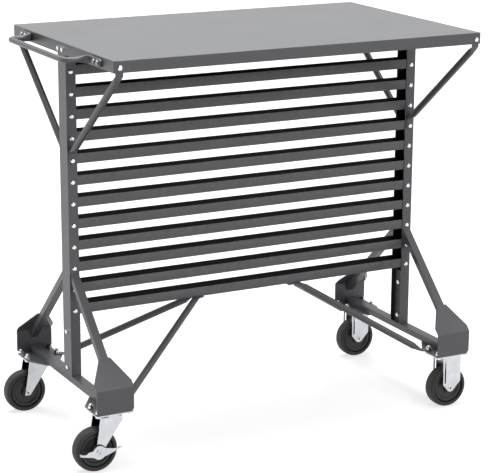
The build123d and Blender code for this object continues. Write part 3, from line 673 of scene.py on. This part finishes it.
def rail_tree():
    """Open channels at an even pitch, from their folded profile, with painted shade marked on their insides.
    """
    sheet, given, result = start_group(
        "GeometryNodeTree", "hanging_rails",
        {"Geometry": GEOMETRY, "Count": COUNT, "Pitch": VALUE, "Length": VALUE, "Depth": VALUE,
         "Height": VALUE, "Wall": VALUE, "Fold Radius": VALUE, "Material": MATERIAL},
        {"Geometry": GEOMETRY})

    def marked(geometry, domain, label, value):
        """The geometry with an attribute that the finish reads."""
        return sheet.add("GeometryNodeStoreNamedAttribute", {"data_type": "FLOAT", "domain": domain},
                         Geometry=geometry, Name=label, Value=value).outputs[0]

    profile = sheet.add("GeometryNodeMeshToCurve", Mesh=given["Geometry"]).outputs[0]
    folded = sheet.add("GeometryNodeFilletCurve", {"mode": "POLY"}, Curve=profile, Count=3,
                       Radius=given["Fold Radius"], Limit_Radius=True).outputs[0]
    half = sheet.math("MULTIPLY", given["Length"], 0.5)
    line = sheet.add("GeometryNodeCurvePrimitiveLine", End=vector(sheet, X=half),
                     Start=vector(sheet, X=sheet.math("MULTIPLY", half, -1.0))).outputs[0]
    channel = sheet.add("GeometryNodeCurveToMesh", Curve=line, Profile_Curve=folded,
                        Fill_Caps=True).outputs[0]
    position = sheet.add("GeometryNodeInputPosition").outputs[0]
    spot = sheet.add("ShaderNodeSeparateXYZ", Vector=position).outputs
    wall = sheet.math("MULTIPLY", given["Wall"], INSIDE_SHARE)
    reach = sheet.math("SUBTRACT", sheet.math("MULTIPLY", given["Depth"], 0.5), wall)
    between = sheet.math("LESS_THAN", sheet.math("ABSOLUTE", spot["Y"]), reach)
    above = sheet.math("GREATER_THAN", spot["Z"], wall)
    # Painted shade: the faces between a channel's walls and above its floor are marked to go dark, standing
    # in for the deep shade inside it.
    rail = marked(channel, "FACE", "painted_shade_and_dim_bolts", sheet.math("MULTIPLY", between, above))
    # Each rail's face is made paler towards its top: its edge share rises with height.
    rail = marked(rail, "POINT", "edge", sheet.math("DIVIDE", spot["Z"], given["Height"], clamp=True))
    drop = vector(sheet, Z=sheet.math("MULTIPLY", given["Pitch"], -1.0))
    row = sheet.add("GeometryNodeMeshLine", Count=given["Count"], Offset=drop).outputs[0]
    rails = sheet.add("GeometryNodeInstanceOnPoints", Points=row, Instance=rail).outputs[0]
    return finish_tree(sheet, result, rails, given["Material"])


def make_rails():
    """The twelve hanging rails."""
    low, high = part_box("rail_01")
    depth, height = high.y - low.y, high.z - low.z
    half, wall = depth / 2, RAIL_WALL
    outline = [(wall - half, height), (wall - half, wall), (half - wall, wall), (half - wall, height),
               (half, height), (half, 0), (-half, 0), (-half, height)]
    profile = bpy.data.meshes.new("rail_profile")
    profile.from_pydata([(y, -z, 0) for y, z in outline],
                        [(i, (i + 1) % len(outline)) for i in range(len(outline))], [])
    mesh = grown(rail_tree(), profile, {
        "Count": RAIL_COUNT, "Pitch": RAIL_PITCH, "Length": high.x - low.x, "Depth": depth,
        "Height": height, "Wall": wall, "Fold Radius": RAIL_FOLD_RADIUS, "Material": COAT[0]})
    mesh.transform(Matrix.Translation(((low.x + high.x) / 2, (low.y + high.y) / 2, low.z)))
    smooth_by_angle(mesh, 32)
    add_piece("hanging_rails", mesh, "cart", COAT, [f"rail_{number + 1:02d}" for number in range(RAIL_COUNT)])


def fastener_points(rows):
    """A mesh of bare points that carry their direction and grip."""
    seats, ways, grips = zip(*rows)
    mesh = bpy.data.meshes.new("fastener_points")
    mesh.from_pydata(seats, [], [])
    flat_ways = [value for way in ways for value in way]
    mesh.attributes.new("way", "FLOAT_VECTOR", "POINT").data.foreach_set("vector", flat_ways)
    mesh.attributes.new("grip", "FLOAT", "POINT").data.foreach_set("value", grips)
    return mesh


def fastener_sizes(head_sides, **sizes):
    """A fastener's sizes, given in millimetres, by the names of its tree's inputs."""
    named = {name.replace("_", " ").title(): size * MM for name, size in sizes.items()}
    return {"Head Sides": head_sides, "Material": FASTENER_ZINC[0], **named}


ROUND_SCREW = fastener_sizes(28, head_radius=5.6, head_height=3.8, shank_radius=2.5, shank_length=6.0,
                             nut_radius=4.6, nut_height=0.4)
SMALL_BOLT = fastener_sizes(6, head_radius=5.77, head_height=4.0, shank_radius=3.0, shank_length=7.0,
                            nut_radius=5.77, nut_height=5.0)
LARGE_BOLT = fastener_sizes(6, head_radius=6.93, head_height=3.6, shank_radius=4.0, shank_length=10.5,
                            nut_radius=6.93, nut_height=6.5)


# How much darker and duller the four bolts of the handle are made than the other skirt bolts, through the
# same mix as the painted shade
HANDLE_BOLT_DARK_SHARE = 0.6


def on_handle(face):
    """How dull a face of a skirt bolt is, from whether its bolt holds the handle."""
    at_ear = face.center.x < WORKTOP_LOW.x and abs(face.center.y) > HANDLE_LEG_Y
    return HANDLE_BOLT_DARK_SHARE if at_ear else 0.0


def make_fasteners():
    """Rail screws, skirt bolts, frame bolts and caster bolts, each a seat, a direction and a grip."""
    screws = []
    for end in ENDS:
        for number, level in enumerate(SCREW_LEVELS, start=1):
            lug = LUG_THICKNESS if number in (TOP_BRACE_RAIL, LEG_BRACE_RAIL) else 0.0
            screws.append(((POST_X[end], -POST_FACE - lug, level), (0, 1, 0),
                           lug + POST_WALL + RAIL_WALL))

    skirt_x = {"left": WORKTOP_LOW.x, "right": WORKTOP_HIGH.x}
    skirt = [((skirt_x[end], y, SKIRT_BOLT_Z), (-ENDS[end], 0, 0), SKIRT_SHEET + POST_WALL)
             for end in ENDS for y in (-SKIRT_BOLT_SPREAD, SKIRT_BOLT_SPREAD)]
    outer = HANDLE_LEG_Y + EAR_LENGTH - EAR_BOLT_INSET
    skirt += [((WORKTOP_LOW.x - EAR_THICKNESS, hand * y, HANDLE_Z), (1, 0, 0), EAR_THICKNESS + SKIRT_SHEET)
              for hand in (-1, 1) for y in (outer, outer - EAR_BOLT_PITCH)]
    skirt += [((POST_X[end], FACES[face] * WORKTOP_HIGH.y, SKIRT_BOLT_Z), (0, -FACES[face], 0),
               SKIRT_SHEET + LUG_THICKNESS) for face, end in CORNERS]

    framing = []
    for end, out in ENDS.items():
        framing += [((POST_X[end], POST_FACE + LUG_THICKNESS, SCREW_LEVELS[number - 1]), (0, -1, 0),
                     LUG_THICKNESS + POST_WALL + RAIL_WALL) for number in (TOP_BRACE_RAIL, LEG_BRACE_RAIL)]
        framing += [((POST_X[end] + out * POST_HALF_WIDTH, 0, POST_FOOT + rise), (-out, 0, 0),
                     POST_WALL + UPRIGHT_DEPTH) for rise in UPRIGHT_BOLT_RISES]
        framing.append(((CENTRE_X + out * CROSS_BRACE_REACH, CROSS_BRACE_Y,
                         RAIL_FLOORS[-1] - 2 * LUG_THICKNESS), (0, 0, 1), 2 * LUG_THICKNESS + RAIL_WALL))

    casters = []
    for face, end in CORNERS:
        for i in (-1, 1):
            for j in (-1, 1):
                braced = i == -ENDS[end] and j == -FACES[face]
                seat = (POST_X[end] + i * PLATE_PITCH[0] / 2,
                        FACES[face] * CASTER_Y + j * PLATE_PITCH[1] / 2, PLATE_BOTTOM)
                casters.append((seat, (0, 0, 1),
                                BRACKET_FLOOR - PLATE_BOTTOM + (LUG_THICKNESS if braced else 0)))

    round_tree = fastener_tree("round_headed_screws", DOME)
    hex_tree = fastener_tree("hex_bolts", CHAMFERED)
    for name, tree, rows, sizes in (("rail_screws", round_tree, screws, ROUND_SCREW),
                                    ("skirt_bolts", hex_tree, skirt, SMALL_BOLT),
                                    ("frame_bolts", hex_tree, framing, SMALL_BOLT),
                                    ("caster_bolts", hex_tree, casters, LARGE_BOLT)):
        mesh = grown(tree, fastener_points(rows), sizes)
        smooth_by_angle(mesh, 28)
        if name == "skirt_bolts":
            mark_faces(mesh, "painted_shade_and_dim_bolts", on_handle)
        show_node(name, mesh, "cart", FASTENER_ZINC)


# Pieces made one by one


def strut_mesh(low, high, face, name):
    """A round tube between two pins, its ends pressed flat into rounded lugs."""
    tip_steps, taper_steps = 8, 12
    tip_half_width = 0.4 * MM
    last_flat = LUG_RUN - 3.0 * MM
    span = high - low
    along = (span - face * span.dot(face)).normalized()
    low_bend, high_bend = low + along * LUG_RUN, high - along * LUG_RUN
    axis = (high_bend - low_bend).normalized()
    half_width, half_sheet = LUG_WIDTH / 2, LUG_THICKNESS / 2

    def end_rows(pin, lug_way, tube_way):
        """The sections of one end, from its round tip to the full tube."""
        rows = []
        across = face.cross(lug_way).normalized()
        for i in range(tip_steps + 1):
            turn = pi / 2 * (1 - i / tip_steps)
            rows.append((pin - lug_way * half_width * sin(turn), across, face,
                         max(half_width * cos(turn), tip_half_width), half_sheet, PRESSED))
        rows.append((pin + lug_way * last_flat, across, face, half_width, half_sheet, PRESSED))
        bend = pin + lug_way * LUG_RUN
        for i in range(taper_steps + 1):
            t = i / taper_steps
            turned_share = min(1, 3 * t)
            way = (lug_way * (1 - turned_share) + tube_way * turned_share).normalized()
            tilted = (face - way * face.dot(way)).normalized()
            rows.append((bend + tube_way * STRUT_TAPER * t, tilted.cross(way).normalized(), tilted,
                         blend(half_width, STRUT_RADIUS, eased(t)), blend(half_sheet, STRUT_RADIUS, eased(t)),
                         blend(PRESSED, ROUND, min(1, 1.6 * eased(t)))))
        return rows

    first = end_rows(low, along, axis)
    second = [(centre, -across, up, wide, tall, square)
              for centre, across, up, wide, tall, square in end_rows(high, -along, -axis)]
    mesh = skin_over([ring(*row) for row in first + second[::-1]], name)
    smooth_by_angle(mesh, 50)
    return mesh


def make_round_struts():
    """The four struts under the worktop and the four under the lowest rail."""
    for face, end in CORNERS:
        way = FACES[face]
        low = Vector((POST_X[end], way * (POST_FACE + LUG_THICKNESS / 2), SCREW_LEVELS[TOP_BRACE_RAIL - 1]))
        high = Vector((POST_X[end], way * (WORKTOP_HIGH.y - SKIRT_SHEET - LUG_THICKNESS / 2), SKIRT_BOLT_Z))
        name = f"{face}_{end}_top_brace"
        show_node(name, strut_mesh(low, high, ACROSS_CART, name), "cart", COAT)

        # The lugs of the back struts lie beneath those of the front ones
        lugs_down = 0.5 if face == "front" else 1.5
        low = Vector((POST_X[end] - ENDS[end] * PLATE_PITCH[0] / 2, way * (CASTER_Y - PLATE_PITCH[1] / 2),
                      BRACKET_FLOOR + LUG_THICKNESS / 2))
        high = Vector((CENTRE_X + ENDS[end] * CROSS_BRACE_REACH, CROSS_BRACE_Y,
                       RAIL_FLOORS[-1] - lugs_down * LUG_THICKNESS))
        name = f"{face}_{end}_cross_brace"
        show_node(name, strut_mesh(low, high, UP, name), "cart", COAT)


def make_handle():
    """The bent bar, pressed flat along the skirt at both ends."""
    end_gap = 0.2 * MM
    longest_step = 4.0 * MM
    bend_steps = 12
    flatten_from, flatten_run = 30.0 * MM, 22.0 * MM
    tip_share = 0.45
    skirt_x = WORKTOP_LOW.x
    ear_x = skirt_x - EAR_THICKNESS / 2
    low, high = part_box("handle")
    bar_x = low.x + HANDLE_RADIUS
    leg_y, tip_y = HANDLE_LEG_Y, high.y - end_gap
    corners = [(ear_x, -tip_y, 0), (ear_x, -leg_y, HANDLE_LEG_BEND), (bar_x, -leg_y, HANDLE_CORNER_BEND),
               (bar_x, leg_y, HANDLE_CORNER_BEND), (ear_x, leg_y, HANDLE_LEG_BEND), (ear_x, tip_y, 0)]
    spots = [Vector((x, y, HANDLE_Z)) for x, y, radius in corners]

    # The middle line, with an arc at each bend
    line = []
    for i, corner in enumerate(spots):
        radius = corners[i][2]
        if not radius:
            line.append(corner)
            continue
        before, after = (spots[i - 1] - corner).normalized(), (spots[i + 1] - corner).normalized()
        centre = corner + (before + after) * radius
        for step in range(bend_steps + 1):
            turn = pi / 2 * step / bend_steps
            line.append(centre - after * radius * cos(turn) - before * radius * sin(turn))
    dense = [line[0]]
    for point in line[1:]:
        start = dense[-1]
        pieces = max(1, int((point - start).length / longest_step))
        dense += [start.lerp(point, (k + 1) / pieces) for k in range(pieces)]

    # Sections along it, from a round bar to the flat ears with their blunt tips
    sections = []
    for i, point in enumerate(dense):
        ahead, behind = dense[min(i + 1, len(dense) - 1)], dense[max(i - 1, 0)]
        across = (ahead - behind).normalized().cross(UP)
        flat = eased((point.x - (skirt_x - flatten_from)) / flatten_run)
        tall = blend(HANDLE_RADIUS, EAR_HALF_HEIGHT, flat)
        to_tip = (high.y - abs(point.y)) / EAR_HALF_HEIGHT
        if to_tip < 1.0:
            tall *= blend(tip_share, 1.0, sqrt(max(0.0, 1 - (1 - to_tip) ** 2)))
        sections.append(ring(point, across, UP, blend(HANDLE_RADIUS, EAR_THICKNESS / 2, flat), tall,
                             blend(ROUND, PRESSED, flat)))
    mesh = skin_over(sections, "handle")
    smooth_by_angle(mesh, 50)
    show_node("handle", mesh, "cart", COAT)


# Half sections of a wheel, as radius and height from its middle in millimetres
CORE_HALF = [(4.06, 20.7), (12.0, 20.7), (13.5, 11.0), (28.5, 9.6), (30.5, 12.6), (31.5, 13.0),
             (37.0, 13.0), (37.5, 12.4), (38.2, 10.0), (40.0, 9.8)]
TYRE_HALF = [(40.0, 15.2), (40.6, 16.0), (44.5, 16.0), (47.6, 14.9), (49.7, 12.4), (50.5, 8.0), (50.8, 0.0)]
CORE_CORNER_RADIUS, TYRE_CORNER_RADIUS = 1.0, 1.6
WHEEL_STEPS = 96


def make_wheels():
    """Each wheel: a moulded core and a tyre with eased shoulders, worn towards its tread."""
    worn_from = 45.5 * MM
    for face, end in CORNERS:
        centre = Vector((AXLE_X[end], FACES[face] * CASTER_Y, AXLE_Z))
        corner, body = f"{face}_{end}", f"{face}_{end}_wheel"
        core = rounded_corners(mirrored(CORE_HALF), CORE_CORNER_RADIUS, 2)
        mesh = turned(core, centre, ACROSS_CART, f"{corner}_core", WHEEL_STEPS)
        smooth_by_angle(mesh, 38)
        add_piece(f"{corner}_core_shown", mesh, body, CORE_PLASTIC, [f"{corner}_wheel_core"])
        tyre = rounded_corners(mirrored(TYRE_HALF), TYRE_CORNER_RADIUS, 3)
        mesh = turned(tyre, centre, ACROSS_CART, f"{corner}_tyre_ring", WHEEL_STEPS)
        smooth_by_angle(mesh, 45)
        mark_faces(mesh, "edge", lambda patch: max(
            0.0, ((patch.center - centre).xz.length - worn_from) / (AXLE_Z - worn_from)))
        show_node(f"{corner}_tyre", mesh, body, RUBBER)


# One end of a hollow rivet, as radius and depth from the end, and the kingpin and the two
# ends of the brake's housing, as radius and height, all in millimetres
RIVET_END = [(0.0, 2.5), (2.0, 2.5), (2.2, 0.3), (3.0, 0.0), (5.2, 0.1), (6.0, 0.8), (6.0, 1.2), (4.0, 1.2)]
KINGPIN = [(0.0, 136.7), (6.0, 136.7), (6.0, 125.4), (11.0, 125.4), (11.0, 123.6), (9.6, 121.6),
           (6.5, 120.9), (0.0, 120.9)]
HOUSING_BACK = [(4.0, 0.0), (16.6, 0.0), (17.7, 0.4), (18.0, 1.2)]
HOUSING_FRONT = [(18.0, -0.3), (17.6, 0.0), (4.0, 0.0)]
RIVET_HOLLOW = 2.15 * MM
RIVET_STEPS, HOUSING_STEPS = 40, 64


def make_rivets():
    """The hollow rivets that are the axles, the kingpins, and the brake's round housing."""
    for face, end in CORNERS:
        name = f"{face}_{end}_axle"
        low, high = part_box(name)
        centre = Vector((AXLE_X[end], 0, AXLE_Z))
        profile = [(radius, low.y / MM + depth) for radius, depth in RIVET_END]
        profile += [(radius, high.y / MM - depth) for radius, depth in reversed(RIVET_END)]
        mesh = turned(profile, centre, ACROSS_CART, name, RIVET_STEPS)
        smooth_by_angle(mesh, 40)
        # Painted shade inside the hollow ends of each rivet.
        mark_faces(mesh, "painted_shade_and_dim_bolts", lambda patch: (patch.center - centre).xz.length < RIVET_HOLLOW)
        show_node(name, mesh, f"{face}_left_caster" if end == "left" else "cart", ZINC)

    for face in FACES:
        name = f"{face}_left_kingpin"
        centre = Vector((POST_X["left"], FACES[face] * CASTER_Y, 0))
        mesh = turned(KINGPIN, centre, UP, name, RIVET_STEPS)
        smooth_by_angle(mesh, 40)
        show_node(name, mesh, "cart", ZINC)

    low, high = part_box("brake_cam")
    profile = [(radius, low.y / MM + depth) for radius, depth in HOUSING_BACK]
    profile += [(radius, high.y / MM + depth) for radius, depth in HOUSING_FRONT]
    centre = Vector((AXLE_X["left"], 0, AXLE_Z))
    mesh = turned(profile, centre, ACROSS_CART, "brake_cam", HOUSING_STEPS)
    smooth_by_angle(mesh, 40)
    show_node("brake_cam", mesh, "front_left_caster", HOUSING_PLASTIC)


# The arms of the brake lever, as shares of their reach and of the radius of the round middle
FRONT_ARM = [(0.33, 0.54), (0.75, 0.28), (1.0, 0.46), (1.0, 0.16), (0.56, -0.35), (0.33, -0.59)]
BACK_ARM = [(0.4, -0.53), (0.97, -0.18), (1.0, 0.27), (0.82, 0.02), (0.64, 0.02), (0.56, 0.3), (0.38, 0.34)]
# The raised ring about its rivet, as radius and depth from the lever's face in millimetres
LEVER_BOSS = [(3.0, 0.5), (9.4, 0.5), (9.2, -0.3), (8.4, -0.7), (7.2, -0.7), (6.7, -0.3), (3.0, -0.3)]


def make_brake_lever():
    """The pressed two-armed lever, with eased edges and a pad turned out at its front end."""
    sheet, corner_radius = 2.5 * MM, 3.0 * MM
    middle_radius, back_reach, front_reach = 16.0 * MM, 47.5 * MM, 50.0 * MM
    pad_half_width, pad_half_height = 3.5 * MM, 1.5 * MM
    low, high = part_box("brake_lever")
    x = AXLE_X["left"]
    front_y, back_y = high.y - sheet, high.y

    def middle_arc(start, end):
        """Points on the round middle of the lever, between two angles."""
        steps = 16
        turns = [radians(blend(start, end, i / steps)) for i in range(steps + 1)]
        return [(x + middle_radius * cos(turn), AXLE_Z + middle_radius * sin(turn)) for turn in turns]

    outline = middle_arc(157, 38)
    outline += [(x + u * front_reach, AXLE_Z + v * middle_radius) for u, v in FRONT_ARM]
    outline += middle_arc(-41, -140)
    outline += [(x - u * back_reach, AXLE_Z + v * middle_radius) for u, v in BACK_ARM]
    outline = rounded_corners(outline, corner_radius, 3)
    pad_top = AXLE_Z + FRONT_ARM[2][1] * middle_radius
    pad = [(x + front_reach + i * pad_half_width, pad_top + (j - 1) * pad_half_height)
           for i, j in ((-1, -1), (1, -1), (1, 1), (-1, 1))]
    meshes = [round_edges(slab(outline, front_y, back_y, "lever"), 0.5 * MM),
              round_edges(slab(pad, low.y, back_y, "lever_pad"), 0.9 * MM, steps=3),
              turned(LEVER_BOSS, Vector((x, front_y, AXLE_Z)), ACROSS_CART, "lever_boss", 48)]
    lever = joined(meshes, "lever")
    smooth_by_angle(lever, 40)
    show_node("brake_lever", lever, "brake_lever_body", ZINC)


# Pieces carried over from the frame


# How much painted shade the uprights of the feet take, and from what height
UPRIGHT_PAINTED_SHADE_SHARE = 0.4
UPRIGHT_PAINTED_SHADE_FROM = BRACKET_FLOOR + 16.0 * MM


def painted_shade_in_post(end):
    """Tells whether a face belongs to the inside of a post's channel, where painted shade goes."""
    out = ENDS[end]
    low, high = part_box(f"{end}_post")
    wall = INSIDE_SHARE * POST_WALL

    def test(face):
        """A side face well within the post's walls."""
        depth = (high.x - face.center.x) if out > 0 else (face.center.x - low.x)
        return abs(face.center.y) < POST_FACE - wall and depth > wall and abs(face.normal.z) < 0.5
    return test


def painted_shade_in_upright(face):
    """How much painted shade a face of a foot takes: only its part in the post does."""
    return UPRIGHT_PAINTED_SHADE_SHARE if face.center.z > UPRIGHT_PAINTED_SHADE_FROM else 0.0


def painted_shade_in_fork(corner):
    """Tells whether a face of a swivel fork looks at its wheel or is beneath the crown, where painted shade
    goes.
    """
    middle = FACES[corner] * CASTER_Y
    leg_inside, crown_from = 22.5 * MM, 100.0 * MM

    def test(face):
        """A face of a leg's inside or of the crown's underside."""
        beside = abs(face.center.y - middle) < leg_inside and abs(face.normal.y) > 0.7
        beneath = face.normal.z < -0.7 and face.center.z > crown_from
        return beside or beneath
    return test


def dress_frame():
    """The CAD pieces that are carried over with rounded and worn edges."""
    dress("worktop", "cart", COAT, 0.35 * MM)
    for end in ENDS:
        dress(f"{end}_post", "cart", COAT, 0.5 * MM, painted_shade_in_post(end))
        dress(f"{end}_foot", "cart", COAT, 0.45 * MM, painted_shade_in_upright)
    for face, end in CORNERS:
        dress(f"{face}_{end}_leg_brace", "cart", COAT, 0.6 * MM)
        dress(f"{face}_{end}_corner_bracket", "cart", COAT, 0.7 * MM)
    for face in FACES:
        dress(f"{face}_left_caster_plate", "cart", ZINC, 0.4 * MM)
        dress(f"{face}_left_swivel_fork", f"{face}_left_caster", ZINC, 0.7 * MM, painted_shade_in_fork(face))
        dress(f"{face}_right_rigid_fork", "cart", ZINC, 0.7 * MM)


# Floor, light and camera


WHITE = plain(1.0)
FLOOR_REACH = 30.0
# Name, place, aim, width and watts of each lamp
LAMPS = (("top_lamp", (-0.1, 0.3, 3.7), (0, 0, 0.5), 2.6, 131.0),
         ("front_lamp", (1.0, -3.8, 2.9), (0, 0, 0.5), 2.4, 51.0),
         ("left_lamp", (-3.6, 0.9, 0.6), (0, 0, 0.3), 1.2, 13.5))
# Where the dark card of the studio stands, which only gloss shows
CARD_WAY = Vector((-0.62, -0.3, 0.72))
CAMERA_PLACE = (-1.95775, -3.77530, 1.57038)
CAMERA_YAW, CAMERA_PITCH, CAMERA_ROLL = 0.482641, 0.260745, 0.004913
CAMERA_SENSOR, CAMERA_LENS = 36.0, 134.79


def share_seen(sheet, rays):
    """1 for the rays that see the background itself, and 0 for those that light the cart."""
    seen = sheet.math("ADD", rays["Is Camera Ray"], rays["Is Glossy Ray"], clamp=True)
    return sheet.math("ADD", seen, rays["Is Transmission Ray"], clamp=True)


def make_floor():
    """A plain pale floor that keeps the cart's shadow and shows as white far from it."""
    mesh = bpy.data.meshes.new("floor")
    mesh.from_pydata([(i * FLOOR_REACH, j * FLOOR_REACH, 0) for i, j in ((-1, -1), (1, -1), (1, 1), (-1, 1))],
                     [], [(0, 1, 2, 3)])
    floor = put_in_scene("floor", mesh)
    material, sheet, shader, place = start_material("floor_white")
    seen = share_seen(sheet, sheet.add("ShaderNodeLightPath").outputs)
    away = sheet.add("ShaderNodeVectorMath", {"operation": "LENGTH"})
    sheet.feed(away, 0, place)
    glow = sheet.spread(away.outputs["Value"], low=1.2, high=4.5, to_low=0.66)
    sheet.feed(shader, "Roughness", 0.9)
    sheet.feed(shader, "Base Color", sheet.mix(seen, plain(0.2), plain(0.62)))
    sheet.feed(shader, "Emission Color", WHITE)
    sheet.feed(shader, "Emission Strength", sheet.math("MULTIPLY", seen, glow))
    mesh.materials.append(material)


def make_surround():
    """A white surround, dimmer as light on the cart, with a dark card that gloss shows."""
    world = bpy.data.worlds.new("studio")
    bpy.context.scene.world = world
    world.use_nodes = True
    world.node_tree.nodes.clear()
    sheet = NodeSheet(world.node_tree)
    rays = sheet.add("ShaderNodeLightPath").outputs
    toward = sheet.add("ShaderNodeVectorMath", {"operation": "DOT_PRODUCT"})
    sheet.feed(toward, 0, sheet.add("ShaderNodeTexCoord").outputs["Generated"])
    sheet.feed(toward, 1, CARD_WAY.normalized())
    card = sheet.spread(toward.outputs["Value"], low=0.66, high=0.76)
    card = sheet.math("MULTIPLY", card, rays["Is Glossy Ray"])
    strength = sheet.spread(share_seen(sheet, rays), low=0.0, high=1.0, to_low=0.35)
    strength = sheet.math("SUBTRACT", strength, sheet.math("MULTIPLY", card, 0.95), clamp=True)
    surround = sheet.add("ShaderNodeBackground", Color=WHITE, Strength=strength)
    sheet.add("ShaderNodeOutputWorld", Surface=surround.outputs[0])


def make_lamps():
    """Three soft lamps, above, in front and beyond the handle."""
    for name, place, aim, size, watts in LAMPS:
        lamp = bpy.data.lights.new(name, "AREA")
        lamp.size = size
        lamp.energy = watts
        holder = put_in_scene(name, lamp)
        holder.location = place
        holder.rotation_euler = (Vector(aim) - Vector(place)).to_track_quat("-Z", "Y").to_euler()


def make_camera():
    """The camera at the photograph's place and angle."""
    yaw, pitch, roll = CAMERA_YAW, CAMERA_PITCH, CAMERA_ROLL
    ahead = Vector((sin(yaw) * cos(pitch), cos(yaw) * cos(pitch), -sin(pitch)))
    level = Vector((cos(yaw), -sin(yaw), 0.0))
    upright = level.cross(ahead)
    right = level * cos(roll) + upright * sin(roll)
    up = upright * cos(roll) - level * sin(roll)
    camera = bpy.data.cameras.new("camera")
    camera.sensor_fit = "HORIZONTAL"
    camera.sensor_width = CAMERA_SENSOR
    camera.lens = CAMERA_LENS
    camera.clip_end = 100.0
    holder = put_in_scene("camera", camera)
    turn = Matrix((right, up, -ahead)).transposed().to_4x4()
    holder.matrix_world = Matrix.Translation(CAMERA_PLACE) @ turn
    bpy.context.scene.camera = holder


dress_frame()
make_rails()
make_fasteners()
make_round_struts()
make_handle()
make_wheels()
make_rivets()
make_brake_lever()
make_floor()
make_surround()
make_lamps()
make_camera()
bpy.context.scene.view_settings.view_transform = "Standard"
